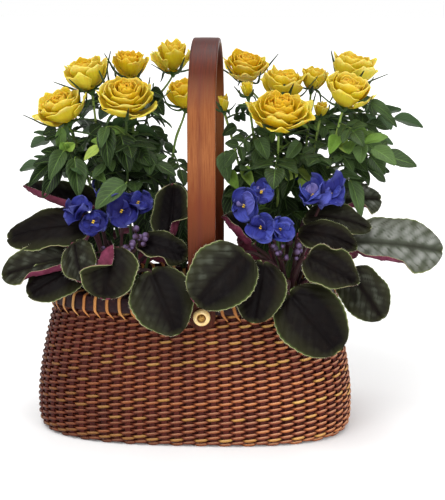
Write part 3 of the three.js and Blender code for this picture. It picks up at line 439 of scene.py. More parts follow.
def bone_look():
    look = Look("bone_knob", specular=0.3, coat=0.2, coat_rough=0.25)
    rings = look.noise(260.0, 4.0)
    base = look.ramp(rings, (0.3, 236, 196, 122), (0.6, 252, 222, 158), (0.85, 255, 240, 192))
    base = look.blend(base, (176, 124, 66), look.noise(60.0, 2.0), 0.45, 0.8, 0.0, 0.35)
    # painted shade in the hollow round the pin
    base = look.blend(base, (150, 100, 56), *look.values("along"), 0.7, 0.8)
    return look.finish(base, rings, 0.0002, (0.3, 0.5))


def soil_look():
    look = Look("potting_soil", rough=0.95, specular=0.05)
    crumbs = look.noise(320.0, 6.0)
    base = look.ramp(crumbs, (0.25, 28, 18, 12), (0.6, 66, 45, 30), (0.85, 110, 84, 60))
    base = look.blend(base, (66, 84, 34), look.noise(34.0, 3.0), 0.56, 0.66, 0.0, 0.75)
    return look.finish(base, crumbs, 0.001)


def rose_leaf_look():
    """Rose leaves: a pale rib and veins, painted shade beneath and to the left of the basket, painted light
    to its right.
    """
    look = Look("rose_leaf", specular=0.16)
    tone, along, across, side = look.values("tone", "along", "edge", "face")
    # painted shade on the left of the basket and painted light on its right, less on the paler leaves
    shift = look.range(look.axis(0), -0.1, 0.14, -0.3, 0.36)
    shift = look.math("MULTIPLY", look.math("SUBTRACT", 1.0, tone), shift)
    mottle = look.noise(120.0, 4.0)
    top = look.ramp(look.math("ADD", tone, shift), (0.0, 18, 30, 12), (0.4, 37, 53, 22), (0.7, 66, 86, 50),
                    (0.9, 102, 136, 50), (1.0, 158, 178, 82))
    top = look.blend(top, (25, 34, 18), mottle, 0.4, 0.75, 0.0, 0.5)
    gap = look.math("ABSOLUTE", across)
    rib = look.range(gap, 0.0, 0.07, 0.75, 0.0)
    sweep_back = look.math("SUBTRACT", look.math("MULTIPLY", along, 7.0), look.math("MULTIPLY", gap, 3.0))
    vein = look.math("ABSOLUTE", look.math("SUBTRACT", look.math("FRACT", sweep_back), 0.5))
    lines = look.math("MAXIMUM", rib, look.range(vein, 0.0, 0.1, 0.4, 0.0))
    top = look.mix(lines, top, (104, 136, 66))
    # painted shade: the undersides are darker than a rose leaf's real paler green
    under = look.mix(lines, (58, 82, 48), (96, 120, 74))
    height = look.math("SUBTRACT", mottle, look.math("MULTIPLY", lines, 0.8))
    return look.finish(look.mix(side, under, top), mottle, 0.0003, (0.38, 0.6), height)


def petal_look():
    """Rose petals: golden at the heart, lemon outside and paler in patches along the lips."""
    look = Look("rose_petal", specular=0.1, Subsurface_Weight=0.2, Subsurface_Scale=0.004)
    tone, along, across = look.values("tone", "along", "edge")
    base = look.ramp(tone, (0.0, 208, 192, 58), (0.25, 208, 184, 33), (0.6, 206, 172, 20),
                     (1.0, 213, 164, 18))
    base = look.blend(base, (176, 138, 20), along, 0.0, 0.6, 0.6, 0.0)
    veins = look.streaks(across, 14.0, along, 2.0, tone)
    base = look.blend(base, (184, 150, 30), veins, 0.45, 0.75, 0.0, 0.45)
    blush = look.noise(120.0, 3.0)
    lip = look.math("MULTIPLY", look.range(along, 0.72, 0.98), look.range(blush, 0.3, 0.62))
    lip = look.math("MULTIPLY", lip, look.range(tone, 0.25, 0.8, 0.7, 0.15))
    base = look.mix(lip, base, (226, 214, 128))
    stain = look.math("MULTIPLY", look.range(along, 0.93, 1.0), look.range(blush, 0.6, 0.72))
    base = look.mix(look.math("MULTIPLY", stain, 0.4), base, (200, 124, 24))
    return look.finish(base, veins, 0.0003, (0.45, 0.6), strength=0.7)


def violet_leaf_look():
    """Downy violet leaves: nearly black in the middle, pale-edged, pink-purple beneath, with painted sheen.
    """
    look = Look("violet_leaf", specular=0.05)
    tone, edge, side = look.values("tone", "edge", "face")
    mottle, down = look.noise(90.0, 5.0), look.noise(900.0, 2.0)
    # the tone is a painted sheen: high tone lightens the leaf towards grey
    top = look.ramp(tone, (0.0, 8, 5, 7), (0.2, 17, 13, 11), (0.45, 35, 35, 27), (0.72, 76, 80, 69),
                    (1.0, 134, 136, 130))
    top = look.blend(top, (26, 15, 12), mottle, 0.5, 0.8, 0.0, 0.35)
    top = look.blend(top, (56, 58, 34), edge, 0.5, 0.95, 0.0, 0.45)
    top = look.blend(top, (82, 100, 48), edge, 0.92, 0.97, 0.0, 0.5)
    top = look.blend(top, (152, 154, 112), edge, 0.976, 0.99)
    top = look.blend(top, (96, 98, 88), down, 0.66, 0.82, 0.0, 0.1)
    under = look.ramp(mottle, (0.3, 74, 30, 42), (0.55, 114, 52, 74), (0.85, 156, 88, 108))
    # painted shade: the underside is darker where the painted sheen's tone is low
    under = look.blend(under, (54, 22, 28), tone, 0.02, 0.3, 0.65, 0.0)
    height = look.math("ADD", mottle, look.math("MULTIPLY", down, 0.3))
    return look.finish(look.mix(side, under, top), mottle, 0.0005, (0.42, 0.62), height)


def flower_look():
    look = Look("violet_petal", specular=0.12)
    tone, along, across = look.values("tone", "along", "edge")
    veins = look.streaks(across, 10.0, along, 2.0, tone)
    sparkle = look.node("TexVoronoi", {"Vector": look.place(), "Scale": 1500.0})
    base = look.ramp(tone, (0.0, 24, 22, 70), (0.4, 42, 46, 122), (0.8, 72, 82, 170), (1.0, 132, 122, 182))
    base = look.blend(base, (26, 22, 74), veins, 0.42, 0.72, 0.0, 0.65)
    base = look.blend(base, (96, 102, 168), along, 0.8, 1.0, 0.0, 0.5)
    base = look.blend(base, (16, 10, 38), along, 0.0, 0.46, 0.95, 0.0)
    # painted glints: small lighter specks in the petals' cells
    base = look.blend(base, (92, 94, 168), sparkle, 0.0, 0.2, 0.2, 0.0)
    return look.finish(base, veins, 0.0002, (0.4, 0.6), look.math("ADD", veins, sparkle))


CANE, RIM, LASHING, WOOD, BONE, SOIL = [
    make() for make in (cane_look, rim_look, lashing_look, wood_look, bone_look, soil_look)]
ROSE_LEAF, PETAL, VIOLET_LEAF, FLOWER = [
    make() for make in (rose_leaf_look, petal_look, violet_leaf_look, flower_look)]
STAVE = plain("dark_stave", 90.0, 4.0, 0.15, ((0.25, 44, 15, 13), (0.75, 92, 40, 34)), 0.0004, (0.5, 0.75),
              specular=0.1)
BRASS = plain("brass_pin", 700.0, 3.0, 1, ((0.3, 112, 76, 34), (0.8, 196, 156, 84)), 0.00005, (0.22, 0.42),
              Metallic=1.0)
LINER = plain("plastic_liner", 140.0, 4.0, 1, ((0.3, 18, 22, 20), (0.8, 42, 46, 42)), 0.0002, (0.4, 0.65),
              specular=0.15)
BARK = plain("woody_stock", 240.0, 5.0, 0.25, ((0.3, 44, 34, 22), (0.6, 86, 70, 44), (0.85, 118, 104, 70)),
             0.0008, rough=None, Roughness=0.85, specular=0.1)
DOWN = plain("pale_down", 400.0, 2.0, 1, ((0.3, 150, 156, 130), (0.8, 206, 208, 186)), Roughness=0.7)
ANTHER = plain("violet_anther", 900.0, 2.0, 1, ((0.3, 226, 172, 24), (0.8, 252, 224, 84)), 0.0001,
               Roughness=0.6)
ROSE_CANE = mottled("rose_cane", "tone", ((0.0, 40, 58, 28), (0.5, 66, 92, 40), (1.0, 138, 164, 78)),
                    (86, 54, 36), (1.0, 4.0), (260, 260, 40), (0.45, 0.8, 0.0, 0.55), 0.0002, (0.4, 0.6),
                    specular=0.2)
SEPAL = mottled("rose_sepal", "along", ((0.0, 64, 94, 44), (0.35, 46, 70, 38), (1.0, 38, 44, 30)),
                (110, 130, 74), (260.0, 3.0), (), (0.4, 0.8, 0.0, 0.4), 0.0002, (0.45, 0.65), specular=0.15)
VIOLET_STALK = mottled("violet_stalk", "tone", ((0.0, 36, 16, 24), (1.0, 72, 38, 46)), (70, 66, 42),
                       (200.0, 3.0), (), (0.4, 0.8, 0.0, 0.4), 0.0003, specular=0.15, Roughness=0.55)
BUD = mottled("violet_bud", "along", ((0.0, 34, 20, 30), (0.5, 52, 36, 58), (1.0, 116, 98, 138)),
              (62, 40, 58), (320.0, 3.0), (), (0.4, 0.8, 0.0, 0.6), 0.0002, (0.4, 0.6), specular=0.2)

# ------------------------------------------------------------------ basket

SQUARENESS = 2.8
BASE, BELLY, MOUTH = (127, 62.5), (134.5, 70), (117, 58)  # half-width and half-depth
FOOT_HEIGHT, BELLY_Z, MOUTH_Z = 12, 26, 116
COLUMNS, ROWS = 68, 42
SAMPLES = 8  # along a strand for each column
LASHINGS = 60
UNDER_RINGS, UNDER_SIZE = 24, (123, 59)  # the underside's strands, half-width and half-depth
HOOP_LOW, HOOP_HIGH = 111.3, 123.8
HOOP_LENGTH, HOOP_POINTS = 700, 272
STRAND = 1.15  # how far a strand swings in and out
STAVE_KIND, LASHING_KIND = 1, 1  # the second materials of the wall and of the outer hoop


def wall_at(z):
    """Half-width and half-depth of the woven wall's outside at a height."""
    z = np.asarray(z, float)
    foot = np.sqrt(np.maximum(0, 1 - (1 - np.minimum(z, FOOT_HEIGHT) / FOOT_HEIGHT) ** 2))
    taper = (np.maximum(0, z - BELLY_Z) / (MOUTH_Z - BELLY_Z)) ** 1.5
    return [lerp(BASE[k], BELLY[k], foot) - (BELLY[k] - MOUTH[k]) * taper for k in (0, 1)]


def oval(angle, half_width, half_depth):
    c, s = np.cos(angle), np.sin(angle)
    power = 2 / SQUARENESS
    return half_width * np.sign(c) * np.abs(c) ** power, half_depth * np.sign(s) * np.abs(s) ** power


def even_angles(count):
    """Angles that part the belly's oval into equal lengths."""
    fine = np.linspace(0, TURN, 8001)
    lengths = lengths_along(np.stack(oval(fine, *BELLY), -1))
    return np.interp(np.arange(count) / count * lengths[-1], lengths, fine)


def wall_ring(angles, z, inset):
    """Points of the wall at heights z, `inset` inside its outside."""
    half_width, half_depth = wall_at(z)
    x, y = oval(angles, half_width - inset, half_depth - inset)
    return np.stack([x, y, np.broadcast_to(z, x.shape)], -1)


def round_ring(build, ring, outline, corners, **values):
    """A closed strand round a ring, with its outline along the ring's outward and upward axes."""
    tangent = unit(np.roll(ring, -1, 0) - np.roll(ring, 1, 0))
    out = unit(np.cross(tangent, vec(0, 0, 1)))
    sweep(build, ring, out, np.cross(out, tangent), outline, closed=True,
          face=np.broadcast_to(corners, (len(ring), len(corners))), **values)


def woven_wall():
    build = Build()
    rng = np.random.default_rng(4)
    n = COLUMNS * SAMPLES
    angles = even_angles(n)
    column = np.arange(n) / SAMPLES
    c = circle(8)
    z = np.linspace(1.6, 109.8, 600)
    lengths = lengths_along(np.stack([z, wall_at(z)[1]], -1))
    streak = rng.random(ROWS)
    for row, z in enumerate(np.interp(np.linspace(0, lengths[-1], ROWS), lengths, z)):
        turn = np.pi * (column + row)
        weave = np.cos(turn)
        tones = 0.16 * rng.random(COLUMNS)
        for start in range(int(rng.integers(0, 9)) - 9, COLUMNS, 17):
            strand = 0.86 if rng.random() < 0.14 else 0.4 * rng.random() + 0.24 * streak[row]
            tones[max(start, 0):start + 17] += strand
        drift = np.cumsum(rng.normal(0, 0.1, n)) * 0.05
        drift = drift - np.linspace(0, drift[-1], n)
        bow = STRAND * np.sign(weave) * np.abs(weave) ** 0.5
        ring = wall_ring(angles, np.clip(z + 0.5 * np.sin(turn) + drift, 0.9, 111), 0.6 - bow)
        height = 1.02 + 0.3 * np.sqrt(np.maximum(weave, 0))
        section = c * vec(0.66, 1.0) * np.stack([np.ones(n), height], -1)[:, None]
        # face runs round each strand from its underside to its top, and edge from its deepest to its proudest
        # part; the cane material paints shade and highlight from both
        round_ring(build, ring, section, c[:, 1], along=column,
                   tone=tones[np.floor(column + 0.5).astype(int) % COLUMNS],
                   edge=np.clip((bow[:, None] + section[..., 0] + 0.7) / 2.2, 0, 1))
    z = np.linspace(1.2, MOUTH_Z, 40)
    half = [[2.3, 0.25], [1.6, 0.5], [-1.6, 0.5], [-2.3, 0.25]]
    outline = np.array(half + [[-x, -y] for x, y in half])
    for angle in even_angles(COLUMNS * 8)[::8]:
        path, ahead = [wall_ring(np.full(40, angle + step), z, 0.6) for step in (0, 0.01)]
        along = unit(ahead - path)
        out = np.cross(along, unit(np.gradient(path, axis=0)))
        sweep(build, path, along, out, outline, kind=STAVE_KIND)
    angles = even_angles(136)
    z = np.concatenate([np.linspace(2.2, 14, 8), np.linspace(20, 121, 16)])
    rings = [wall_ring(angles, h, 2.6) for h in z] + [wall_ring(angles, h, 4.5) for h in z[:5:-1]]
    stack(build, np.array(rings + [wall_ring(angles, 5.0, 5.5)]), kind=STAVE_KIND)
    base_rings(build, rng)
    piece("woven_basket", build, [CANE, STAVE], "basket", "basket_shell")


def base_rings(build, rng):
    """The woven underside: strands laid round and round, over and under the staves."""
    n = COLUMNS * 4
    angles = even_angles(n)
    column = np.arange(n) / 4
    c = circle(6)
    for k in range(UNDER_RINGS):
        share = 1 - (k + 0.6) / (UNDER_RINGS + 1)
        x, y = oval(angles, UNDER_SIZE[0] * share, UNDER_SIZE[1] * share)
        ring = np.stack([x, y, 1.5 + 0.35 * np.cos(np.pi * (column + k))], -1)
        round_ring(build, ring, c * vec(1.5, 0.6), c[:, 1], tone=0.5 * rng.random(n), along=column, edge=0.7)


def hoop(build, inset, thickness):
    """A bent flat hoop with rounded edges."""
    ring = wall_ring(even_angles(HOOP_POINTS), (HOOP_LOW + HOOP_HIGH) / 2, inset)
    lean = (wall_at(HOOP_HIGH)[1] - wall_at(HOOP_LOW)[1]) / (HOOP_HIGH - HOOP_LOW)
    c, s = circle(16).T
    u = np.sign(c) * np.abs(c) ** 0.5 * thickness / 2
    w = np.sign(s) * np.abs(s) ** 0.5 * (HOOP_HIGH - HOOP_LOW) / 2
    round_ring(build, ring, np.stack([u + lean * w, w], -1), s, along=np.linspace(0, 1, HOOP_POINTS))


def lashings(build, rng):
    """Strips of cane bound over both hoops, each drawn sideways to a point in the wall below."""
    fine = 4000
    base = even_angles(fine)
    steps = 36
    t = np.linspace(0, 1, steps)
    width = 1.5 * np.interp(t, [0, 0.1, 0.2, 1], [0.2, 0.7, 1.0, 0.95])
    c = circle(8)
    outline = c * np.stack([width, np.full(steps, 0.42)], -1)[:, None]
    for k in range(LASHINGS):
        share = (k + 0.5) / LASHINGS
        pull = rng.uniform(0.7, 1.4)
        stations = [(-0.7, 105.6, 5.4 * pull), (-2.3, 108.4, 3.4 * pull), (-4.15, 111.8, 1.5 * pull),
                    (-4.45, 116.5, 0.2), (-4.3, 123.4, -0.5), (-2.4, 124.8, -0.6), (2.0, 124.9, -0.6),
                    (6.5, 124.8, -0.7), (9.2, 123.2, -0.8), (9.5, 117.5, -0.8), (9.0, 111.2, -0.9)]
        points = []
        for inset, z, shift in stations:
            place = share + (shift + 0.4 * rng.random()) / HOOP_LENGTH
            points.append(wall_ring(base[int(place * fine) % fine], z, inset))
        path = curve_samples(points, steps)
        tangent = unit(np.gradient(path, axis=0))
        a = base[int(share * fine) % fine]
        x, y = np.array(oval(a + 0.02, *MOUTH)) - np.array(oval(a, *MOUTH))
        way = unit(vec(x, y, 0))
        side = unit(way - tangent * (tangent @ way)[:, None])
        # face runs across each strip; the lashing material darkens its edges from it as painted shade
        sweep(build, path, side, np.cross(tangent, side), outline, tone=rng.random(), along=t,
              face=np.broadcast_to(c[:, 0], (steps, 8)), kind=LASHING_KIND)


def rims():
    outer, inner = Build(), Build()
    hoop(outer, -2.2, 3.6)
    lashings(outer, np.random.default_rng(7))
    piece("rim_hoop_outer", outer, [RIM, LASHING], "basket", "rim_outer")
    hoop(inner, 7.3, 3.0)
    piece("rim_hoop_inner", inner, [RIM], "basket", "rim_inner")


# ------------------------------------------------------------------ handle, knobs, pins

HANDLE_X, HANDLE_WIDTH, HANDLE_THICKNESS = 11, 22, 5
LEG_Y, SPRING_Z, TAIL_Z, PIVOT_Z = 66.1, 260.4, 100.4, 112.4
CORNER = 1.5  # the rounding of the handle's edges
SEAT = LEG_Y + HANDLE_THICKNESS / 2 + 0.3  # how far out the knobs sit
HOOP_FACE = float(wall_at(PIVOT_Z + 4)[1]) - 9.0  # the inner hoop's inner face
CLENCH = HOOP_FACE - 0.6 - SEAT  # from the knob's seat to the pin's clenched end
KNOB = [[2.3, 0], [5.6, 0], [6.3, 0.25], [6.75, 0.9], [6.9, 1.7], [6.9, 2.9], [6.7, 3.8], [6.2, 4.7],
        [5.4, 5.35], [4.6, 5.6], [4.1, 5.55], [3.75, 5.3], [3.5, 4.8], [3.4, 4.4], [3.0, 4.3], [2.3, 4.3]]
PIN = [[0.05, CLENCH - 1.2], [3.0, CLENCH - 1.2], [3.7, CLENCH - 1.05], [4.0, CLENCH - 0.6], [4.0, CLENCH],
       [2.0, CLENCH], [2.0, 4.6], [2.9, 4.6], [2.85, 5.1], [2.3, 5.6], [1.2, 5.8], [0.05, 5.85]]


def handle():
    build = Build()
    half, c = HANDLE_WIDTH / 2, HANDLE_THICKNESS / 2
    leg = [(TAIL_Z + half * (1 - math.cos(a)), half * math.sin(a))
           for a in (np.arange(13) + 0.3) / 12.3 * np.pi / 2]
    leg += [(z, half) for z in np.linspace(118, 256, 24)]
    middle = vec(HANDLE_X, 0, SPRING_Z)
    rows = [(vec(HANDLE_X, -LEG_Y, z), vec(0, -1, 0), w) for z, w in leg]
    for a in np.pi * np.arange(61) / 60:
        out = vec(0, -math.cos(a), math.sin(a))
        rows.append((middle + LEG_Y * out, out, half))
    rows += [(vec(HANDLE_X, LEG_Y, z), vec(0, 1, 0), w) for z, w in leg[::-1]]
    path, out, widths = [np.array(column) for column in zip(*rows)]
    side = np.tile(vec(1, 0, 0), (len(rows), 1))
    outline = []
    for w in widths:
        r = min(CORNER, w / 2)
        bend = [(r * math.cos(b) + w - r, r * math.sin(b) + c - r) for b in np.linspace(0, np.pi / 2, 5)]
        top = bend + [(f * (w - r), c + 0.12 * (1 - f * f)) for f in np.linspace(1, -1, 13)[1:-1]]
        tail = [(-(r * math.sin(b) + w - r), r * math.cos(b) + c - r) for b in np.linspace(0, np.pi / 2, 5)]
        outline.append(top + tail + [(-x, -y) for x, y in top + tail])
    outline = np.array(outline)
    sweep(build, path, side, out, outline, along=lengths_along(path) / 60.0, edge=outline[..., 0] / half)
    bore(piece("bent_wood_handle", build, [WOOD], "handle", "handle"))


def bore(obj):
    """Drills the pins' holes through the handle's legs."""
    build = Build()
    turned(build, [[2.3, 0], [2.3, 160]], 32, (HANDLE_X, -80, PIVOT_Z), (0, 1, 0))
    cutter = linked("cutter", build.mesh("cutter"))
    cut = obj.modifiers.new("bore", "BOOLEAN")
    cut.operation = "DIFFERENCE"
    cut.solver = "EXACT"
    cut.object = cutter
    bpy.context.view_layer.update()
    mesh = bpy.data.meshes.new_from_object(obj.evaluated_get(bpy.context.evaluated_depsgraph_get()))
    obj.modifiers.clear()
    obj.data = mesh
    bpy.data.objects.remove(cutter)


def knobs_and_pins():
    sides = 56
    c = circle(sides)
    n = len(KNOB)
    for place, outward in (("front", -1), ("back", 1)):
        at, up = vec(HANDLE_X, outward * SEAT, PIVOT_Z), vec(0, outward, 0)
        side, other = cross_axes(up)
        build = Build()
        # along runs over the knob's profile; the bone material paints shade in the hollow round the pin from
        # it
        sweep(build, np.tile(at, (sides, 1)), c[:, :1] * side + c[:, 1:] * other, np.tile(up, (sides, 1)),
              KNOB[::-1], closed=True, along=np.tile((np.arange(n) / n)[::-1], (sides, 1)))
        piece(f"bone_knob_{place}", build, [BONE], "basket", f"knob_{place}")
        build = Build()
        turned(build, PIN, 32, at, up)
        piece(f"brass_pin_{place}", build, [BRASS], "basket", f"pin_{place}")


# ------------------------------------------------------------------ liner and soil

LINER_SIDES, SOIL_SIDES, CRUMBS = 204, 180, 900


def mound(rim, share):
    """The soil's height at a share of the way out."""
    return rim + 5.2 * smooth((1 - share) * 2.2)


def liner_and_soil():
    build = Build()
    rng = np.random.default_rng(11)
    angles = even_angles(LINER_SIDES)
    sides = np.arange(LINER_SIDES)
    wave = 0.25 * np.sin(sides * 0.9) + 0.2 * np.sin(sides * 0.37)
    heights = [5.4, 12, 26, 50, 80, 100, 108, 109]
    rings = [wall_ring(angles, h, (6.7 if h < 10 else 5.75) + wave * (h > 90)) for h in heights]
    rings += [wall_ring(angles, max(h, 6.6), (7.9 if h < 10 else 6.9) + wave * (h > 90))
              for h in heights[::-1]]
    stack(build, np.array(rings))
    piece("planting_liner", build, [LINER], "basket", "liner")
    build = Build()
    angles = even_angles(SOIL_SIDES)
    rings = [wall_ring(angles, z, inset) for z, inset in ((7.2, 9.1), (26.0, 8.1), (101.6, 8.1))]
    edge = wall_ring(angles, 102.0, 8.1)
    for share in np.linspace(0.985, 0.04, 34):
        lumps = rng.normal(0, 0.45, SOIL_SIDES)
        lumps = (lumps + np.roll(lumps, 1) + np.roll(lumps, -1)) / 1.6
        rings.append(np.stack([edge[:, 0] * share, edge[:, 1] * share, mound(102.2, share) + lumps], -1))
    stack(build, np.array(rings))
    for _ in range(CRUMBS):
        a, r = rng.random() * TURN, math.sqrt(rng.random()) * 0.96
        x, y = oval(a, 106 * r, 47 * r)
        size = 0.8 + 1.5 * rng.random() ** 2
        ball(build, (x, y, mound(102.4, r) + 0.3), size * 0.7, rng.normal(size=3), size, 5, 3)
    piece("potting_soil", build, [SOIL], "basket", "soil")


# ------------------------------------------------------------------ roses

Seat = namedtuple("Seat", "at radius axis side bends", defaults=(None,))  # a bloom's place in the part
Bloom = namedtuple("Bloom", "at radius open axis tall gold")  # a bloom as it looks

ROSES = [Seat(*row) for row in (
    ((-114, 15, 270), 20, (-0.45, -0.35, 0.8), "left"), ((-94, 30, 295), 18, (-0.25, -0.2, 0.9), "left"),
    ((-58, 2, 282), 26, (0.05, -0.5, 0.85), "left"), ((-56, 45, 302), 15, (0.1, -0.1, 1), "left"),
    ((-26, 86, 306), 18, (0.25, -0.3, 0.9), "left", ((-52, 46, 190), (-48, 76, 252))),
    ((-14, 38, 278), 14, (-0.1, -0.3, 0.95), "left"),
    ((40, 86, 299), 20, (0.1, -0.35, 0.9), "right", ((76, 46, 190), (66, 76, 250))),
    ((74, 34, 289), 19, (0.1, -0.15, 1), "right"), ((44, 8, 286), 7, (-0.1, -0.1, 1), "right"),
    ((72, -10, 272), 28, (0.1, -0.55, 0.82), "right"), ((103, 45, 293), 12, (0.45, -0.1, 0.85), "right"),
    ((128, 0, 286), 18, (0.3, -0.3, 0.9), "right"), ((136, 40, 302), 18, (0.35, -0.05, 0.95), "right"),
    ((24, 25, 272), 8, (-0.1, -0.2, 1), "right"), ((106, 24, 266), 9, (0.1, -0.3, 0.9), "right"),
)]
# How the open blooms sit on those seats: shift across and up, radius, openness, height and axis.
SITTING = [
    (2.3, -3.8, 22.6, 0.7, 1.0, (-0.3, -0.3, 0.9)), (1.8, -2.9, 20.6, 0.55, 1.1, (-0.2, -0.2, 0.95)),
    (1.3, -4.8, 26, 1.0, 1.0, (0.05, -0.42, 0.9)), (-2.3, -2.9, 16.8, 0.45, 1.1, (0.05, -0.2, 1)),
    (1.5, -5.0, 17, 0.44, 1.32, (0.05, -0.2, 1)), (2.8, -4.0, 16.5, 0.4, 1.2, (-0.1, -0.3, 0.95)),
    (0, -2.8, 20.5, 0.8, 1.0, (0.1, -0.32, 0.92)), (0, -4.6, 19.5, 0.6, 1.05, (0.1, -0.12, 1)),
    (0.5, -2.0, 8.4, 0.1, 1.1, (-0.1, -0.1, 1)), (0, -3.2, 28.5, 1.0, 0.85, (0.1, -0.33, 0.92)),
    (-3.6, -4.4, 14, 0.4, 1.1, (0.2, -0.15, 0.95)), (-2.3, -3.8, 20.8, 0.6, 1.05, (0.2, -0.3, 0.92)),
    (-4.5, -4.0, 21.5, 0.55, 0.95, (0.16, -0.1, 1)), (0, -2.4, 8, 0.1, 1.3, (-0.1, -0.2, 1)),
    (0, 0, 9, 0.2, 1.0, (0.1, -0.3, 0.9)),
]
ROSE_STOCKS = {"left": (-52, 4), "right": (74, 4)}
CROWN_Z = 107
FALLING = 4  # the rose whose outermost petals have dropped outwards
FULLEST = 9  # the rose with most petals
SMALLEST = 10  # roses up to this radius are buds
GOLD = {3: 0.3, 5: 0.28, 6: 0.22, 9: 0.12, 7: 0.12, 10: 0.1}  # how much deeper some blooms' colour is
GOLDEN_ANGLE = 2.39996
LEAF_SHARES = (0.71, 0.85)
LEAF_SWINGS = (0, 0.7, -0.7, 1.4, -1.4, 2.1, -2.1)
THORNS = 14  # on one cane
SPARE_TRIES, SPARE_MOST, SPARE_GAP = 60, 64, 13  # tries on one cane, leaves on one bush, room between
BUSH_X, BUSH_REACH, BUSH_DEPTH, BUSH_LOW, BUSH_HIGH = 22, 172, 96, 182, 292  # where spare leaves may be
ARCH_INNER, ARCH_OUTER = 58, 75  # from the middle of the handle's arch to its swing's inside and outside
SWING_HALF, SWING_SPREAD = 16, 0.17  # half the swing's width at the pivot, and its growth upwards
HAND_LOW, HAND_HALF = 185, 14  # the foot and half-width of the hand's opening
GREEN, SEPAL_KIND, STOCK_KIND = 1, 2, 3  # a rose plant's materials after its leaves

# Single leaves by side: foot, tip, width and tone.
PLACED_LEAVES = {
    "left": [
        (-123, 0, 223, -135, -16, 209, 9, 0.1), (-113, -6, 222, -122, -20, 202, 13, 0.1),
        (-109, -4, 235, -116, -22, 218, 13, 0.68), (-99, -8, 230, -94, -24, 205, 17, 0.6),
        (-112, 8, 253, -113, 2, 236, 9, 0.82), (-116, 6, 252, -127, 4, 248, 9, 0.1),
        (-114, 4, 248, -125, 2, 244, 8, 0.2), (-73, -4, 255, -69, -22, 231, 15, 0.35),
        (-72, -5, 256, -74, -20, 242, 9, 0.75), (-60, -4, 248, -53, -20, 225, 18, 0.2),
        (-38, 30, 282, -28, 24, 278, 9, 0.1), (-37, 28, 276, -28, 20, 265, 11, 0.15),
        (-52, -42, 215, -72, -60, 199, 18, 0.7), (-107, 0, 236, -98, -6, 243, 9, 0.95),
        (-107, 0, 236, -111, -6, 244, 8, 0.9), (-48, -2, 237, -36, -14, 226, 14, 0.4),
        (-112, 0, 231, -127, -10, 237, 10, 0.3), (-85, -4, 218, -72, -18, 212, 10, 0.8),
        (-82, 12, 193, -75, 6, 162, 17, 0), (-72, 14, 186, -81, 8, 164, 15, 0.1),
        (-41, 12, 191, -45, 4, 158, 17, 0), (-37, 12, 182, -33, 4, 154, 16, 0.05),
        (-15, 14, 172, -11, 8, 138, 16, 0), (-8, 14, 177, -8, 8, 142, 14, 0),
        (-67, 16, 189, -74, 8, 166, 15, 0), (-8, 20, 187, -10, 12, 159, 13, 0),
        (-58, 10, 162, -64, 2, 136, 16, 0), (-80, -4, 166, -86, -14, 143, 15, 0),
        (-38, 6, 179, -26, 0, 154, 16, 0),
    ],
    "right": [
        (145, 6, 277, 162, 0, 265, 9, 0.45), (131, 4, 255, 145, -6, 246, 10, 0.75),
        (138, 4, 250, 156, -8, 231, 14, 0.55), (113, -2, 238, 128, -12, 230, 13, 0.15),
        (120, -2, 249, 113, -16, 238, 11, 0.85), (121, -2, 249, 126, -14, 238, 10, 0.95),
        (120, -6, 219, 138, -14, 217, 7, 0.5), (120, -8, 215, 124, -22, 198, 8, 0.62),
        (130, -8, 214, 138, -22, 190, 12, 0.55), (26, -6, 236, 29, -20, 217, 13, 0.68),
        (29, -10, 220, 37, -22, 209, 10, 0.9), (42, -10, 224, 49, -24, 212, 9, 0.92),
        (54, -8, 247, 61, -22, 235, 12, 0.6), (52, -6, 238, 62, -20, 224, 15, 0.4),
        (143, 2, 240, 158, -6, 232, 11, 0.5), (88, 0, 244, 78, -12, 231, 10, 0.6),
        (35, 10, 255, 25, 4, 249, 9, 0.15), (86, 12, 192, 92, 6, 162, 17, 0),
        (94, 14, 187, 86, 8, 162, 15, 0.05), (65, 14, 173, 58, 8, 146, 15, 0),
        (76, 8, 197, 81, 0, 167, 17, 0), (69, 8, 203, 62, 0, 176, 15, 0.05),
        (82, 2, 218, 76, -8, 200, 13, 0.25), (148, 0, 238, 156, -8, 224, 13, 0.5),
        (50, 4, 189, 57, -2, 168, 14, 0), (32, -2, 208, 32, -10, 178, 14, 0),
    ],
}


def rose_frame(rose):
    """A bloom's place, its axis and two axes square to it."""
    up = unit(rose.axis)
    return vec(*rose.at), up, *cross_axes(up)


def shown(number):
    """A rose as it looks, shifted on its seat."""
    x, y, z = ROSES[number].at
    across, up, radius, open_, tall, axis = SITTING[number]
    return Bloom((x + across, y, z + up), radius, open_, axis, tall, GOLD.get(number, 0.0))


def petal_profile(open_, tier):
    """Radius and height at a petal's foot, belly, shoulder and lip; tier 0 is outermost, 2 inmost."""
    flare = lerp(0.62, 1.03, smooth(open_ / 0.7))
    lift = lerp(0.7, 0.12, open_)
    stages = np.array([
        [[0.1, -0.38], [0.78 * flare, -0.4], [0.98 * flare, lift - 0.16], [flare, lift + 0.08]],
        [[0.06, -0.3], [0.5 * flare, -0.12], [0.66 * flare, lift + 0.14], [0.66 * flare, lift + 0.36]],
        [[0.03, -0.22], [0.2, 0.0], [0.27, 0.4], [0.2, 0.6]],
        [[0.01, -0.2], [0.07, 0.1], [0.1, 0.4], [0.05, 0.55]]])
    low = min(int(tier), 2)
    return lerp(stages[low], stages[low + 1], tier - low)


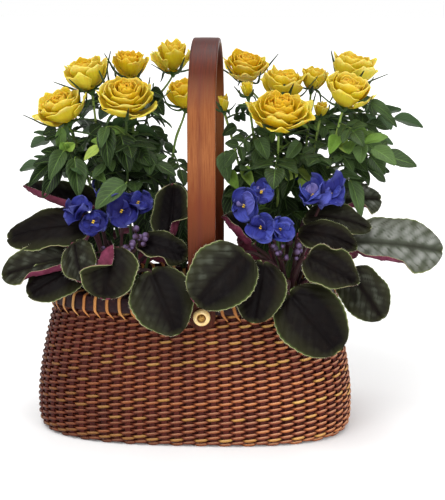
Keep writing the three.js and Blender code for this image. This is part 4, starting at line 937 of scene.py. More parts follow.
def rose_petal(build, rose, tier, turn, span, seed):
    """One petal: a cupped sheet whose lip rolls outwards on the outer whorls."""
    at, up, side, other = rose_frame(rose)
    rng = np.random.default_rng(seed)
    v, u = np.meshgrid(np.linspace(0, 1, 14), np.linspace(-1, 1, 17), indexing="ij")
    outness = np.clip(1 - tier / 1.6, 0, 1)
    point = 0.1 * outness * np.exp(-((u - rng.uniform(-0.3, 0.3)) / 0.25) ** 2) * rng.uniform(0.2, 1.4)
    nick = 0.022 * np.sin(9 * u + phase(rng)) + 0.014 * np.sin(17 * u + phase(rng))
    reach = v * (1 - (0.2 + 0.12 * rng.random()) * np.abs(u) ** 2.6 + (point + nick) * v)
    a, b, c, d = petal_profile(rose.open, tier)
    w = reach[..., None]
    path = (1 - w) ** 3 * a + 3 * (1 - w) ** 2 * w * b + 3 * (1 - w) * w * w * c + w ** 3 * d
    r, h = path[..., 0], path[..., 1]
    roll = smooth((reach - 0.68) / 0.32) * outness * lerp(0.35, 1.0, rose.open)
    r = r + 0.06 * roll * rng.uniform(0.3, 1.3)
    h = h - 0.14 * roll * rng.uniform(0.3, 1.4) + 0.06 * reach ** 3 * rng.uniform(-1, 1)
    angle = turn + span * np.interp(reach, [0, 0.25, 0.6, 0.85, 1.15], [0.45, 0.72, 1.0, 1.0, 0.86]) * u
    curl = np.abs(u) ** 3 * reach ** 2
    r = r + 0.05 * outness * curl * rng.uniform(-0.2, 1.0) + 0.02 * u * np.sqrt(np.maximum(r, 0))
    h = h - 0.05 * outness * curl
    wave = phase(rng)
    ruffle = reach ** 4 * (0.05 * np.sin(3.8 * u + wave) + 0.032 * np.sin(8.5 * u + 2 * wave))
    h = h + ruffle * (0.6 + outness)
    r = r + reach ** 3 * 0.06 * np.sin(5.1 * u + 1.7 * wave) * (0.35 + 0.8 * outness)
    r = r + reach ** 5 * 0.03 * np.sin(10.3 * u + 2.3 * wave) * (0.3 + outness)
    h = np.where(h > -0.3, -0.3 + (h + 0.3) * rose.tall, h)[..., None]
    out = (r * np.cos(angle))[..., None] * side + (r * np.sin(angle))[..., None] * other
    tone = np.clip(tier / 2.4, 0, 1) + rose.gold + rng.uniform(-0.05, 0.05)
    sheet(build, at + rose.radius * (out + h * up), 0.5, tone=tone, along=reach, edge=u)


def rose_bloom(number):
    rose = shown(number)
    build = Build()
    rng = np.random.default_rng(100 + number)
    full = number == FULLEST
    count = int(lerp(9, 34, min(1, rose.open * 1.05))) + 6 * full
    turn = phase(rng)
    for k in range(count):
        share = k / (count - 1)
        span = lerp(0.74, 1.5, share) * rng.uniform(0.9, 1.12) * (0.78 if full else 1)
        rose_petal(build, rose, 2.9 * share ** 0.9, turn, span, 1000 * number + k)
        inner = share > 0.3
        turn += (GOLDEN_ANGLE if inner else 2 * TURN / 5) + rng.uniform(-1, 1) * (0.15 if inner else 0.1)
    if number == FALLING:
        for lean, reach, seed in ((-1, 23, 51), (0.9, 18, 52)):
            fallen = Bloom(rose.at, reach, 0.2, (0.3 * lean, -0.25, 0.95), 1.0, 0.05)
            _, _, side, other = rose_frame(fallen)
            rose_petal(build, fallen, 0, math.atan2(other[0] * lean, side[0] * lean), 0.72, seed)
    at, up, _, _ = rose_frame(rose)
    size = rose.radius
    ball(build, at - up * 0.36 * size, 0.2 * size, up, 0.1 * size, 12, 6, tone=0.3, along=0.3)
    name = f"{number + 1:02d}"
    piece(f"bloom_{name}", build, [PETAL], "basket", f"rose_bloom_{name}")


def arch_radius(p):
    """How far out from the handle's middle a point lies, in the handle's own plane."""
    return math.hypot(p[1], max(0, p[2] - SPRING_Z))


def in_swing(p):
    """True where the handle swings."""
    room = SWING_HALF + SWING_SPREAD * max(0, p[2] - PIVOT_Z)
    return ARCH_INNER < arch_radius(p) < ARCH_OUTER and abs(p[0] - HANDLE_X) < room


def handle_room(p):
    """True inside the hand's opening or where the handle swings."""
    opening = arch_radius(p) <= ARCH_INNER and p[2] >= HAND_LOW and abs(p[0] - HANDLE_X) < HAND_HALF
    return in_swing(p) or opening


def rose_seat(rose, below=0.0):
    at, up, _, _ = rose_frame(rose)
    return at + up * (-0.42 * rose.radius - 0.3 - below)


def calyx_depth(rose):
    return max(3, 0.26 * rose.radius)


def calyx(build, number):
    """The green cup under a bloom and its five long curling sepals."""
    rose = shown(number)
    at, up, side, other = rose_frame(rose)
    radius = rose.radius
    rng = np.random.default_rng(300 + number)
    depth, neck = calyx_depth(rose), max(2, 0.17 * radius)
    profile = [[1.2, -1.2 * depth], [1.5, -1.05 * depth], [0.75 * neck, -0.8 * depth], [neck, -0.5 * depth],
               [1.02 * neck, -0.25 * depth], [0.75 * neck, -0.3], [0.1, -0.1]]
    turned(build, profile, 14, rose_seat(rose), up, kind=SEPAL_KIND, along=0)
    t = np.linspace(0, 1, 16)
    half = 1.9 * (1 - t) ** 0.75 * (0.75 + 0.5 * np.sin(np.pi * t)) + 0.28
    lanes = np.linspace(-1, 1, 5)
    for k in range(5):
        out = around(TURN / 5 * (k + scatter(number)), side, other)
        sway = np.cross(up, out) * rng.uniform(-0.3, 0.3) * radius
        rise = rng.uniform(-0.1, 0.2)
        ends = [(0.3 * neck / radius, -0.43), (0.42, -0.47), (0.86, -0.2), (1.14, 0.08 + rise),
                (1.42, 0.36 + 2 * rise)]
        if (2 * k + number) % 5 == 0:
            ends[2:] = [(0.6, -0.66), (0.7, -0.95), (0.84, -1.2)]
        elif (2 * k + number) % 5 == 1:
            ends[2:] = [(0.98, -0.24), (1.06, 0.1), (1.12, 0.42 + rise)]
        for slack in (1.0, 0.8, 0.6):
            points = [at + radius * (out * (0.4 + slack * (r - 0.4)) + up * h) + sway * max(0, r - 0.4)
                      for r, h in ends]
            if not any(in_swing(q) for q in points):
                break
        path = curve_samples(points, 16)
        tangent = unit(np.gradient(path, axis=0))
        across = unit(np.cross(tangent, up))
        fold = np.cross(across, tangent)
        grid = (path[:, None] + across[:, None] * (half[:, None] * lanes)[..., None]
                + fold[:, None] * (0.35 * half[:, None] * lanes ** 2)[..., None])
        sheet(build, grid, 0.55, kind=SEPAL_KIND, along=t[:, None], edge=lanes)


def cane_points(number):
    rose = ROSES[number]
    x, y = ROSE_STOCKS[rose.side]
    angle = 2.4 * number
    root = vec(x + 3 * math.cos(angle), y + 3 * math.sin(angle), CROWN_Z)
    top = rose_seat(rose, 0.6 * calyx_depth(rose))
    if rose.bends:
        middle = [vec(*p) for p in rose.bends]
    else:
        middle = [lerp(root, top, 0.5) + vec(0.1 * (top[0] - x), 0.1 * (top[1] - y), 4)]
    return [root, *middle, top]


def leaf_place(base, direction, faces, length):
    """The part's own surface of a rose leaf: along, across and fold to a point."""
    forward, side, normal = axes(direction, faces)

    def place(along, across, fold=0.0):
        along, across, fold = [q[..., None] * length for q in np.broadcast_arrays(along, across, fold)]
        return base + forward * along + side * across + normal * fold - vec(0, 0, 0.2) * along ** 2 / length
    return place


def leaflet(build, place, along, across, tilt, size, tone, rng, plump=1.0, fold=0.3):
    """One serrated leaflet on its short neck, folded along its rib."""
    s = np.linspace(0, 1, 21)[:, None]
    u = 0.02 + 0.98 * (1 - np.cos(np.pi * s)) / 2 * 0.9 + 0.08 * s
    lanes = np.linspace(1, -1, 9)
    half = 0.3 * np.sin(np.pi * np.clip(u, 0, 1) ** 0.82) ** 0.72 + 0.006
    half = half * (1 + 0.07 * np.abs(np.sin(np.pi * 11 * u)) * np.sin(np.pi * u)) * plump
    v = half * lanes
    wave = phase(rng)
    puff = 0.012 * np.abs(np.sin(np.pi * (7 * u - 3 * np.abs(v) / 0.3))) * np.minimum(1, np.abs(lanes) * 2)
    ripple = 0.02 * np.sin(9 * u + wave) * lanes ** 2 + 0.015 * np.sin(5 * u + 2 * wave)
    bow = -0.10 * u * u * rng.uniform(0.2, 1.6)
    c, d = math.cos(tilt), math.sin(tilt)
    grid = place(along + size * (u * c - v * d), across + size * (u * d + v * c),
                 size * (fold * np.abs(v) + puff + ripple + bow))
    sheet(build, grid, 0.5, tone=tone, along=u, edge=lanes)


def rose_leaf(build, base, direction, faces, length, seed):
    rng = np.random.default_rng(seed)
    place = leaf_place(base, direction, faces, length)
    tube(build, place(np.linspace(-0.03, 0.88, 14), 0.0), np.linspace(0.95, 0.5, 14), 6, kind=GREEN, tone=0.5)
    tone = rng.uniform(0, 1) ** 1.4
    for at, size in ((0.39, 0.36), (0.65, 0.41)):
        for hand in (-1, 1):
            shade = np.clip(tone + rng.uniform(-0.15, 0.15), 0, 1)
            leaflet(build, place, at, 0.018 * hand, 0.95 * hand, size, shade, rng)
    leaflet(build, place, 0.86, 0.0, 0.0, 0.5, np.clip(tone + rng.uniform(-0.1, 0.1), 0, 1), rng)


def found_leaf(known, number, k):
    """The heading that the part gave a leaf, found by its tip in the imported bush, or None."""
    x, y = ROSE_STOCKS[ROSES[number].side]
    seed = 7 * number + k
    share = LEAF_SHARES[k] + 0.06 * (scatter(seed) - 0.5)
    base = curve_samples(cane_points(number), 401)[int(round(400 * share))]
    home = math.atan2(base[1] - y, base[0] - x)
    faces = vec(0, -0.8 if base[1] < y + 8 else 0.8, 1)
    length = 52 * (0.85 + 0.3 * scatter(seed + 90))
    best = (1.6, None)
    for swing in LEAF_SWINGS:
        heading = home + swing + 1.2 * (scatter(seed + 50) - 0.5)
        direction = unit(vec(math.cos(heading), math.sin(heading), 0.3 - 0.2 * k))
        tip = leaf_place(base, direction, faces, length)(1.36, 0.0)
        gap = np.min(np.linalg.norm(known - tip, axis=1))
        if gap < best[0]:
            best = (gap, direction)
    return None if best[1] is None else (base, best[1], faces, length)


def spare_leaves(build, side, rng):
    """Smaller leaves that fill the bush between its main ones, clear of blooms and handle."""
    spheres = [(vec(*f[0]), f[1] + 5) for group in CLUSTERS.values() for f in group]
    spheres += [(vec(*rose.at), rose.radius + 3) for rose in map(shown, range(len(ROSES)))]
    spheres += [(lerp(vec(*leaf.base), vec(*leaf.tip), t), leaf.width * 0.36)
                for plant in VIOLETS.values() for leaf in plant[1] for t in (0.25, 0.5, 0.8)]
    centres, rooms = [np.array(column) for column in zip(*spheres)]
    placed = []
    for number, rose in enumerate(ROSES):
        if rose.side != side:
            continue
        path = curve_samples(cane_points(number), 101)
        for _ in range(SPARE_TRIES):
            at = path[int(100 * rng.uniform(0.42, 0.97))]
            heading = rng.uniform(0, TURN)
            direction = unit(vec(math.cos(heading), math.sin(heading), rng.uniform(-0.5, 0.5)))
            towards = -0.9 if at[1] < ROSE_STOCKS[side][1] + 20 else 0.3
            faces = vec(0, towards, 0.8) + 0.45 * rng.normal(size=3)
            length = rng.uniform(27, 42)
            probe = leaf_place(at, direction, faces, length)(
                np.array([0.4, 0.7, 1.0, 1.35, 0.6, 0.6, 0.9, 0.9]),
                np.array([0, 0, 0, 0, 0.28, -0.28, 0.28, -0.28]))
            x, y, z = probe.T
            if abs(x - BUSH_X).max() > BUSH_REACH or abs(y).max() > BUSH_DEPTH:
                continue
            if z.min() < BUSH_LOW or z.max() > BUSH_HIGH or any(handle_room(p) for p in probe):
                continue
            if (np.linalg.norm(probe[:, None] - centres, axis=2) < rooms).any():
                continue
            if any(np.linalg.norm(probe[1] - q) < SPARE_GAP for q in placed):
                continue
            placed.append(probe[1])
            rose_leaf(build, at, direction, faces, length, int(rng.integers(1 << 30)))
            if len(placed) >= SPARE_MOST:
                break


def node_points(name):
    """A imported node's points."""
    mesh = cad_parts[name].data
    co = np.zeros(len(mesh.vertices) * 3, np.float32)
    mesh.vertices.foreach_get("co", co)
    return co.reshape(-1, 3).astype(float) / MM


def placed_leaf(build, canes, leaf, rng):
    """A single leaf at a stated place, on a stalk from the nearest cane."""
    base, tip, (width, tone) = vec(*leaf[:3]), vec(*leaf[3:6]), leaf[6:]
    run = tip - base
    length = float(np.linalg.norm(run))
    start = canes[np.argmin(np.linalg.norm(canes - (base - vec(0, 0, 9)), axis=1))]
    stalk = curve_samples([start, lerp(start, base, 0.55) + vec(0, 0, 3), base, base + run * 0.12], 14)
    tube(build, stalk, np.linspace(0.8, 0.5, 14), 6, kind=GREEN, tone=0.35 + 0.5 * tone)
    place = leaf_place(base, run + vec(0, 0, 0.2 * length), vec(rng.uniform(-0.4, 0.4), -1, 0.5), length)
    leaflet(build, place, 0.0, 0.0, 0.0, 1.0, tone, rng, width / (0.6 * length), 0.6)


def rose_bush(side):
    build = Build()
    rng = np.random.default_rng(40 if side == "left" else 41)
    stock = [[5.4, 84], [5.7, 92], [5.9, 100], [6.0, 105], [5.6, 109], [5.2, 112], [4.4, 114], [2.6, 115],
             [0.1, 115]]
    turned(build, stock, 20, (*ROSE_STOCKS[side], 0), (0, 0, 1), kind=STOCK_KIND,
           ripple=1 + 0.08 * rng.standard_normal((9, 20)))
    known = node_points(f"rose_bush_{side}")
    numbers = [number for number, rose in enumerate(ROSES) if rose.side == side]
    t = np.linspace(0, 1, 46)
    for number in numbers:
        rose = shown(number)
        path = curve_samples(cane_points(number), 46)
        seat = rose_seat(rose, 0.6 * calyx_depth(rose))
        path = path + smooth((t - 0.8) / 0.2)[:, None] * (seat - path[-1])
        radius = lerp(1.55, 1.0, t) * (1 + 0.1 * np.sin(t * 40 + number))
        pale = 1.0 if number == FULLEST else 0.25 + 0.6 * scatter(number)
        tube(build, path, radius, 8, kind=GREEN, tone=0.25 + pale * t)
        calyx(build, number)
        for _ in range(THORNS):
            at = path[int((0.08 + 0.8 * rng.random()) * 45)]
            out = unit([*rng.normal(size=2), 0.35])
            thorn = [at + out * 0.8, at + out * 1.9, at + out * 2.6 - vec(0, 0, 0.7)]
            tube(build, thorn, [0.75, 0.4, 0.05], 5, kind=GREEN, tone=0.1)
        for k in range(2 if ROSES[number].radius > SMALLEST else 1):
            found = found_leaf(known, number, k)
            if found:
                rose_leaf(build, *found, 500 + 10 * number + k)
    spare_leaves(build, side, rng)
    canes = np.concatenate([curve_samples(cane_points(number), 60) for number in numbers])
    for leaf in PLACED_LEAVES[side]:
        placed_leaf(build, canes, leaf, rng)
    piece(f"rose_plant_{side}", build, [ROSE_LEAF, ROSE_CANE, SEPAL, BARK], "basket",
          f"rose_bush_{side}")


# ------------------------------------------------------------------ violets

# A leaf's foot, tip and width, the way it faces, its cup and arch, and the margins that roll up, as
# (hand, start across, degrees, from, to along). Then the strength of the painted sheen on its quilting's
# crests, the hand that the painted sheen is stronger on, how even it is, and how far its tip is drawn out.
Blade = namedtuple("Blade", "base tip width faces cup arch curls gloss lit even point",
                   defaults=((), 0.3, 0, 0.25, 0.0))

# Each plant's place, leaves, bunches of flowers and bunches of buds.
VIOLETS = {
    "front_left": ((-64, -28), [
        Blade((-79, -18, 191), (-144, 0, 205), 42, (0.15, -0.45, 1), 0.3, -0.04,
              ((1, 0.55, 100, -0.3, 1.2),), 0.06),
        Blade((-82, -30, 179), (-154, -26, 165), 42, (0, -0.75, 0.8), -0.12, 0.08,
              ((1, 0.75, 50, -0.2, 0.7),), 0.2),
        Blade((-87, -42, 154), (-154, -50, 139), 38, (-0.2, -0.8, 0.7), 0.15, 0.06,
              ((1, 0.45, 95, -0.3, 0.8), (-1, 0.7, 50, 0.1, 0.9)), 0.62),
        Blade((-88, -44, 147), (-131, -60, 126), 38, (-0.3, -0.9, 0.45), 0, 0.1, gloss=0.1),
        Blade((-92, -54, 169), (-82, -76, 142), 30, (-0.4, -0.8, 0.5), -0.2, 0.1,
              ((-1, 0.6, 55, -0.2, 1.1),), 0.6, point=0.2),
        Blade((-61, -62, 168), (-65, -84, 130), 46, (0.05, -1, 0.25), 0.14, 0.06,
              ((-1, 0.24, 155, -0.3, 0.62),), 0.3),
        Blade((-18, -42, 167), (-14, -28, 213), 32, (-0.1, -0.9, 0.5), 0.3, -0.04,
              ((-1, 0.35, 120, -0.3, 0.5),), 0.05),
        Blade((-42, -46, 167), (-2, -56, 158), 30, (0, -0.85, 0.7), -0.1, 0.12,
              ((-1, 0.45, 80, -0.2, 0.85),), 0.05),
        Blade((-30, -66, 149), (-7, -94, 105), 50, (0, -1, 0.3), -0.06, 0.07, ((-1, 0.75, 40, 0.0, 0.9),),
              0.52, lit=-1, point=0.25),
    ], ("left_outer", "left_inner"), ((-81, -52, 164), (-51, -58, 167), (-37, -54, 172))),
    "front_right": ((80, -28), [
        Blade((46, -76, 168), (8, -95, 131), 52, (-0.1, -1, 0.35), -0.06, 0.07, ((-1, 0.8, 40, 0.1, 1.1),),
              0.7, lit=-1),
        Blade((50, -50, 168), (27, -46, 190), 28, (-0.2, -0.9, 0.4), 0.2, 0, ((1, 0.1, 120, -0.3, 1.2),),
              0.3),
        Blade((60, -64, 157), (53, -88, 114), 42, (0, -1, 0.25), -0.06, 0.06, ((-1, 0.75, 40, 0.0, 1.0),),
              0.15, point=0.1),
        Blade((80, -68, 133), (119, -94, 93), 54, (0.15, -1, 0.3), -0.06, 0.07, ((1, 0.8, 30, 0.0, 1.0),),
              0.35, lit=-0.6),
        Blade((94, -62, 162), (134, -82, 145), 36, (0.15, -1, 0.5), 0.14, 0.08,
              ((1, 0.45, 70, -0.3, 0.6),), 0.25, point=0.4),
        Blade((88, -40, 176), (134, -56, 168), 28, (0.1, -0.9, 0.7), -0.1, 0.14,
              ((-1, 0.7, 60, -0.2, 0.8),), 0.25, point=0.2),
        Blade((93, -22, 185), (146, -34, 178), 28, (0.1, -0.85, 0.8), -0.1, 0.14,
              ((-1, 0.6, 70, -0.2, 0.8),), 0.45, point=0.2),
        Blade((127, -44, 146), (155, -66, 112), 38, (0.2, -1, 0.3), -0.06, 0.08, gloss=0.6),
        Blade((132, -28, 166), (206, -24, 158), 50, (0, -0.85, 0.75), -0.06, 0.05,
              ((-1, 0.5, 100, -0.4, 0.72),), 1.02, even=0.5),
        Blade((120, 2, 192), (157, 10, 194), 34, (0.1, -0.8, 0.7), -0.05, 0.1, ((-1, 0.3, 95, -0.3, 0.7),),
              0.85),
    ], ("right_inner", "right_low", "right_outer"), ((72, -60, 163), (88, -58, 168))),
    "back_left": ((-64, 28), [
        Blade((-96, 26, 160), (-152, 46, 144), 42, (-0.3, 0.5, 0.9), -0.1, 0.1),
        Blade((-88, 52, 154), (-122, 88, 124), 44, (-0.3, 0.9, 0.5), -0.06, 0.07,
              ((1, 0.6, 80, -0.2, 0.8),), 0.5),
        Blade((-58, 62, 156), (-66, 92, 114), 48, (0, 1, 0.35), -0.06, 0.07),
        Blade((-30, 60, 158), (-36, 88, 116), 38, (0, 1, 0.35), 0.1, 0.07, ((-1, 0.5, 100, -0.2, 0.7),),
              0.3),
        Blade((-92, 22, 186), (-128, 42, 200), 34, (-0.1, 0.3, 1), -0.1, 0.08),
    ], ("back_left",), ((-40, 52, 176),)),
    "back_right": ((80, 28), [
        Blade((114, 26, 160), (168, 44, 144), 42, (0.3, 0.5, 0.9), -0.1, 0.1, ((-1, 0.5, 90, -0.2, 0.8),),
              0.6),
        Blade((104, 52, 154), (136, 88, 122), 44, (0.3, 0.9, 0.5), -0.06, 0.07),
        Blade((78, 62, 158), (86, 92, 114), 46, (0, 1, 0.35), -0.06, 0.07, ((1, 0.55, 90, -0.2, 0.8),),
              0.4),
        Blade((52, 60, 156), (54, 88, 112), 38, (0, 1, 0.35), 0.1, 0.07),
        Blade((112, 24, 186), (148, 42, 200), 34, (0.1, 0.3, 1), -0.1, 0.08),
    ], ("back_right",), ((62, 52, 176),)),
}
# Each bunch's flowers: place, radius and the way they face.
CLUSTERS = {
    "left_outer": [((-89, -44, 192), 13, (-0.3, -0.6, 0.75)), ((-78, -48, 184), 11, (0.1, -0.8, 0.5))],
    "left_inner": [((-55, -46, 193), 15, (0.05, -0.9, 0.4)), ((-43, -38, 198), 11, (0.2, -0.8, 0.6)),
                   ((-66, -38, 206), 12, (-0.1, -0.7, 0.8))],
    "right_inner": [((44, -50, 199), 13, (-0.1, -0.9, 0.4)), ((57, -42, 208), 11, (0.2, -0.7, 0.7))],
    "right_low": [((58, -60, 184), 12, (-0.2, -0.9, 0.35)), ((72, -58, 182), 12, (0.3, -0.9, 0.3))],
    "right_outer": [((99, -34, 204), 13, (-0.15, -0.6, 0.8)),
                    ((113, -28, 204), 12.5, (0.25, -0.65, 0.75))],
    "back_left": [((-80, 62, 192), 15, (-0.1, 0.8, 0.6))],
    "back_right": [((98, 60, 194), 15, (0.1, 0.8, 0.6))],
}
VIOLET_STOCK_TOP = 134
HAIRS = 150  # on one leaf
QUILTS, SCALLOPS = 7, 11  # rows of quilting and scallops along a leaf
STALK, HAIR, BUD_KIND, VIOLET_STOCK = 1, 2, 3, 4  # a violet plant's materials after its leaves
ANTHER_KIND, BUNCH_STALK = 1, 2  # a bunch's materials after its petals
BUD_PROFILE = vec(0.3, -1.0, 1.6, -0.4, 2.5, 1.0, 2.8, 2.4, 2.4, 4.0, 1.3, 5.0, 0.1, 5.3).reshape(-1, 2)


def round_outline(share):
    bent = np.clip(share, 0, 1) ** 0.85
    return np.sqrt(np.maximum(0, 1 - np.abs(2 * bent - 1) ** 2.2))


def crown_point(plant_at, to, tier):
    x, y = plant_at
    return vec(x, y, VIOLET_STOCK_TOP - 3 - tier) + 5.5 * unit(vec(to[0] - x, to[1] - y, 0))


def rolled(half, lanes, cup, curls, s):
    """Across and lift of a blade's sections, whose margins roll up by stated angles."""
    middle = len(lanes) // 2
    across, lift = np.zeros((2, len(s), len(lanes)))
    for hand in (-1, 1):
        order = middle + hand * np.arange(middle + 1)
        out = np.abs(lanes[order])
        turn = np.tile(2 * cup * out, (len(s), 1))
        for curl_hand, start, degrees, low, high in curls:
            if curl_hand == hand:
                window = smooth((s - low) / 0.2) * smooth((high - s) / 0.2)
                bend = smooth((out - start) / min(0.35, 1 - start))
                turn = turn + math.radians(degrees) * bend * window[:, None]
        step = np.diff(out) * half[:, None]
        angle = (turn[:, 1:] + turn[:, :-1]) / 2
        across[:, order[1:]] = hand * np.cumsum(step * np.cos(angle), axis=1)
        lift[:, order[1:]] = np.cumsum(step * np.sin(angle), axis=1)
    return across, lift


def patches(along, across, rng):
    """A soft patchy field from 0 to 1 over a blade, from its places in millimetres."""
    field = 0.0
    for _ in range(7):
        way, wave = rng.uniform(0, TURN), rng.uniform(6, 15)
        place = along * math.cos(way) + across * math.sin(way)
        field = field + np.cos(TURN * place / wave + phase(rng))
    return smooth(0.5 + field / 9)


def violet_leaf(build, plant_at, blade, tier, seed):
    """A downy round leaf: quilted between its veins, scalloped, with margins that may roll up."""
    base = vec(*blade.base)
    rng = np.random.default_rng(seed)
    run = vec(*blade.tip) - base
    length = float(np.linalg.norm(run))
    forward, side, normal = axes(run, blade.faces)
    s = (1 - np.cos(np.pi * np.linspace(0.015, 0.985, 57))) / 2
    lanes = np.sin(np.pi / 2 * np.linspace(-1, 1, 41))
    fullness = round_outline(s) * (1 - blade.point * smooth((s - 0.6) / 0.4))
    scallop = 1 + 0.03 * np.abs(np.sin(np.pi * SCALLOPS * s)) + 0.025 * np.sin(TURN * s * 1.7 + phase(rng))
    half = blade.width / 2 * np.maximum(fullness * scallop, 0.05)
    across, lift = rolled(half, lanes, blade.cup * fullness.max(), blade.curls, s)
    s, fullness, half = [values[:, None] for values in (s, fullness, half)]
    twist = rng.uniform(-0.16, 0.16) * (2 * s - 0.6)
    lift = lift + blade.arch * length * 4 * s * (1 - s) + twist * across
    grid = base + forward * (length * s)[..., None] + side * across[..., None] + normal * lift[..., None]
    gap = np.abs(lanes) * fullness
    vein = np.abs(np.sin(np.pi * QUILTS * (s - 0.45 * gap)))
    cross = np.abs(np.sin(np.pi * (2.6 * gap + 0.8 * np.sin(9 * s) + 0.3)))
    pillow = (1 - (1 - vein) ** 3) * (0.65 + 0.35 * (1 - (1 - cross) ** 3))
    patch = patches(s * length, lanes * half, rng)
    quilt = 1.25 * pillow * (0.55 + 0.45 * patch) * smooth(gap * 6) * smooth((1 - np.abs(lanes)) * 5)
    rib = -1.1 * np.exp(-(gap / 0.05) ** 2)
    ripple = 1.3 * np.sin(TURN * 2.3 * s + phase(rng) + lanes) * lanes ** 4
    out = unit(np.cross(np.gradient(grid, axis=0), np.gradient(grid, axis=1)))
    grid = grid + out * (quilt + rib + ripple)[..., None]
    edge = np.maximum(np.abs(lanes), 1 - 6 * np.minimum(s, 1 - s))
    # painted sheen: the tone, which the leaf material turns pale grey, is strongest on the quilting's crests,
    # in soft patches and on the hand that faces the light
    share = smooth(0.5 + 0.65 * blade.lit * lanes) if blade.lit else 1
    painted_highlight = (0.4 + 0.6 * patch) * (0.35 + 0.65 * pillow) * smooth(gap * 5)
    tone = blade.gloss * share * (blade.even + (1 - blade.even) * painted_highlight)
    tone = np.clip(tone + 0.05 * rng.random(), 0, 1)
    thick = np.interp(np.abs(lanes), [0, 0.1, 0.9, 1], [1.7, 1.1, 1.0, 0.6])
    sheet(build, grid[:, ::-1], thick, tone=tone[:, ::-1], along=s, edge=edge[:, ::-1])
    start = crown_point(plant_at, base, tier)
    stem = curve_samples([start, lerp(start, base, 0.5) + vec(0, 0, 7), base - normal * 1.4,
                          base + run * 0.14 - normal * 1.8,
                          base + run * 0.5 + normal * (blade.arch * length * 0.9 - 1.9)], 34)
    radius = np.interp(np.linspace(0, 1, 34), [0, 0.5, 0.75, 1], [2.1, 1.9, 1.4, 0.4])
    tube(build, stem, radius, 10, kind=STALK, flat=0.85, tone=rng.random())
    hairs(build, grid, normal, rng)


def hairs(build, grid, normal, rng):
    """Short pale hairs that fringe a violet leaf."""
    rows, cols = grid.shape[:2]
    centre = grid.mean((0, 1))
    for _ in range(HAIRS):
        at = grid[rng.integers(0, rows), 0 if rng.random() < 0.5 else cols - 1]
        out = unit(unit(at - centre) + normal * rng.uniform(-0.2, 0.7) + rng.normal(0, 0.35, 3))
        size = rng.uniform(0.7, 1.5)
        path = [at - out * 0.2, at + out * size * 0.6, at + out * size]
        tube(build, path, [0.07, 0.05, 0.015], 3, kind=HAIR)


def flower_stalk(build, plant_at, top, below, count, radii, tone):
    """A stalk from a plant's crown to a little below a point."""
    start = crown_point(plant_at, top, 0)
    path = curve_samples([start, lerp(start, top, 0.5) + vec(0, 0, 4), top - vec(0, 0, below)], count)
    tube(build, path, np.linspace(*radii, count), 8, kind=STALK, tone=tone)
    return path


def violet_buds(build, plant_at, at, rng):
    """A nodding bunch of dull lavender buds in brown calyces."""
    top = vec(*at)
    fork = flower_stalk(build, plant_at, top, 3, 20, (1.3, 1.0), 0.3)[-3]
    for k in range(7):
        lean = unit(vec(0, -0.7, 0.4) + rng.normal(0, 0.45, 3))
        seat = top + rng.normal(0, 1, 3) * vec(4.6, 2.0, 4.0) * (k > 0)
        size = rng.uniform(0.6, 1.0)
        turned(build, BUD_PROFILE * size, 12, seat, lean, kind=BUD_KIND)
        path = curve_samples([fork, lerp(fork, seat, 0.5) - vec(0, 0, 0.8), seat - lean * 0.5], 8)
        tube(build, path, 0.7, 6, kind=STALK, tone=0.3)
        for j in range(5):
            out = around(TURN * j / 5 + k, *cross_axes(lean)) * size
            sepal = [seat + out - lean * 0.4, seat + out * 2.9 + lean * 1.5 * size,
                     seat + out * 3.0 + lean * 3.2 * size]
            tube(build, sepal, [0.9 * size, 0.7 * size, 0.12], 6, kind=STALK, flat=0.5, tone=0.2)


def bunch_meeting(flowers):
    """The point where the stalks of a bunch of flowers meet."""
    return sum(vec(*at) - 7 * unit(faces) for at, _, faces in flowers) / len(flowers)


def violet_plant(place):
    at, leaves, bunches, buds = VIOLETS[place]
    build = Build()
    seed = 60 + 10 * list(VIOLETS).index(place)
    rng = np.random.default_rng(seed)
    stock = [[7.2, 84], [7.6, 95], [8.0, 106], [8.0, 120], [7.4, 129], [6.2, 133], [3.5, 134.2],
             [0.1, 134.4]]
    turned(build, stock, 20, (*at, 0), (0, 0, 1), kind=VIOLET_STOCK,
           ripple=1 + 0.05 * rng.standard_normal((8, 20)))
    for tier, blade in enumerate(leaves):
        violet_leaf(build, at, blade, tier, seed * 100 + tier)
    for name in bunches:
        flower_stalk(build, at, bunch_meeting(CLUSTERS[name]), 1, 26, (1.5, 1.2), 0.7)
    for bunch in buds:
        violet_buds(build, at, bunch, rng)
    piece(f"violet_plant_{place}", build, [VIOLET_LEAF, VIOLET_STALK, DOWN, BUD, BARK], "basket",
          f"violet_{place}")


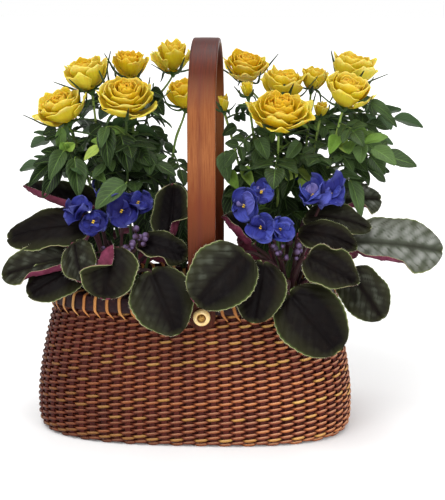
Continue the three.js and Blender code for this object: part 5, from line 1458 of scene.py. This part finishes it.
def violet_flower(build, flower, seed):
    """Five rounded ruffled petals and two small inner ones, each bent its own way, round two anthers."""
    at, radius, up = vec(*flower[0]), flower[1], unit(flower[2])
    side, other = cross_axes(up)
    rng = np.random.default_rng(9000 + seed)
    turn = 2 * scatter(seed)
    s = np.linspace(0.02, 1, 19)[:, None]
    step = np.diff(s, axis=0, prepend=0)
    lanes = np.linspace(1, -1, 23)
    half = 0.68 * np.maximum(np.sqrt(np.maximum(0, 1 - np.abs(2 * s ** 0.62 - 1) ** 2.8)), 0.08)
    margin = np.maximum(np.abs(lanes), s ** 3)
    for k in range(7):
        inner = k > 4
        angle = turn + TURN / 5 * (1.7 * k if inner else k) + rng.uniform(-0.2, 0.2)
        size = (0.62 if inner else 0.9 if k in (1, 2) else 1.14) * rng.uniform(0.94, 1.06)
        out = around(angle, side, other)
        heading = rng.uniform(0.0, 1.35) - rng.uniform(0.4, 1.6) * s ** 1.4
        reach, height = [np.cumsum(step * part, axis=0) for part in (np.cos(heading), np.sin(heading))]
        first, second = rng.uniform(0, 6.28, 2)
        frill = (0.12 * np.sin(5.4 * lanes + 3 * s + first) * margin ** 1.5
                 + 0.06 * np.sin(12 * lanes + 5 * s + second) * margin ** 3)
        crease = rng.uniform(-0.35, 0.6) * np.abs(lanes - rng.uniform(-0.3, 0.3)) * s
        lift = height + frill + crease + rng.uniform(-0.45, 0.45) * lanes * s + 0.02 * (k % 2) + 0.12 * inner
        petal = reach[..., None] * out + (half * lanes)[..., None] * np.cross(up, out) + lift[..., None] * up
        # painted light: flowers right of the middle get 0.25 more tone, as they stand in more light
        tone = 1.0 if inner and rng.random() < 0.2 else rng.uniform(0.05, 0.6) + 0.25 * (at[0] > 0)
        sheet(build, at + radius * size * petal, 0.55, tone=tone, along=s, edge=lanes)
    tilt = unit(side * 0.4 + other)
    for hand in (-1, 1):
        for lobe in (-0.5, 0.5):
            anther = at + up * 2.4 + tilt * hand * 0.85 + np.cross(up, tilt) * lobe
            ball(build, anther, 0.6, up, 0.9, 10, 6, kind=ANTHER_KIND)
    tube(build, [at, at + up * 2.6 + side * 1.6, at + up * 4.0 + side * 2.4], [0.35, 0.28, 0.3], 6, tone=0.9)


def violet_bunches():
    for number, (name, flowers) in enumerate(CLUSTERS.items()):
        build = Build()
        meeting = bunch_meeting(flowers)
        for k, flower in enumerate(flowers):
            violet_flower(build, flower, 40 * number + 7 * k)
            tube(build, np.linspace(meeting, vec(*flower[0]), 8), 1.0, 8, kind=BUNCH_STALK, tone=0.7)
        piece(f"violet_bunch_{name}", build, [FLOWER, ANTHER, VIOLET_STALK], "basket",
              f"violet_flowers_{name}")


# ------------------------------------------------------------------ scene

FLOOR_REACH, FLOOR_Z = 8.0, -0.0002  # metres
CAMERA_AT, CAMERA_TARGET, CAMERA_LENS = (0.0749, -0.9706, 0.3861), (0.024, 0, 0.151), 84.7
LAMP_TARGET = (0.02, 0, 0.16)
LAMPS = {  # place, size and energy
    "key": ((-0.6, -1.3, 1.9), 1.7, 42),
    "fill": ((1.3, -1.4, 1.0), 1.0, 13),
    "top": ((0.2, 0.6, 2.1), 1.2, 18),
}


def aimed(name, data, at, target):
    """An object at a place, turned to look at another."""
    obj = linked(name, data)
    obj.location = at
    obj.rotation_euler = (Vector(target) - obj.location).to_track_quat("-Z", "Y").to_euler()
    return obj


def pale_floor():
    """A wide floor that glows more the further out it is, so that it runs into the backdrop."""
    look = Look("pale_floor", rough=0.9, specular=0.1, Emission_Color=(1, 1, 1, 1))
    distance = look.node("VectorMath", {0: look.place()}, output="Value", operation="LENGTH")
    look.link(look.range(distance, 0.3, 2.5, 0.08, 0.8), "Emission Strength")
    look.link(look.ramp(look.noise(6.0, 2.0), (0.2, 0.93, 0.93, 0.93, 1), (0.8, 0.96, 0.96, 0.96, 1)),
              "Base Color")
    mesh = bpy.data.meshes.new("floor")
    corners = [(FLOOR_REACH * x, FLOOR_REACH * y, FLOOR_Z) for x, y in ((-1, -1), (1, -1), (1, 1), (-1, 1))]
    mesh.from_pydata(corners, [], [(0, 1, 2, 3)])
    mesh.materials.append(look.material)
    linked("floor", mesh)


def backdrop():
    """A white world, darker overhead than at the horizon."""
    world = bpy.data.worlds.new("studio")
    world.use_nodes = True
    tree = world.node_tree
    background = tree.nodes["Background"]
    background.inputs[0].default_value = (1, 1, 1, 1)
    kinds = ("TexCoord", "SeparateXYZ", "MapRange")
    way, parts, dome = [tree.nodes.new("ShaderNode" + kind) for kind in kinds]
    for socket, value in ((1, 0.1), (2, 0.4), (3, 1.0), (4, 0.42)):
        dome.inputs[socket].default_value = value
    tree.links.new(way.outputs["Generated"], parts.inputs[0])
    tree.links.new(parts.outputs[2], dome.inputs[0])
    tree.links.new(dome.outputs[0], background.inputs[1])
    bpy.context.scene.world = world


def studio():
    camera = aimed("camera", bpy.data.cameras.new("camera"), CAMERA_AT, CAMERA_TARGET)
    camera.data.sensor_width = 36
    camera.data.lens = CAMERA_LENS
    camera.data.clip_end = 50
    bpy.context.scene.camera = camera
    pale_floor()
    for name, (place, size, energy) in LAMPS.items():
        lamp = aimed(name, bpy.data.lights.new(name, "AREA"), place, LAMP_TARGET)
        lamp.data.size = size
        lamp.data.energy = energy
    backdrop()
    bpy.context.scene.view_settings.view_transform = "Standard"


woven_wall()
rims()
handle()
knobs_and_pins()
liner_and_soil()
for number in range(len(ROSES)):
    rose_bloom(number)
for side in ROSE_STOCKS:
    rose_bush(side)
for place in VIOLETS:
    violet_plant(place)
violet_bunches()
studio()
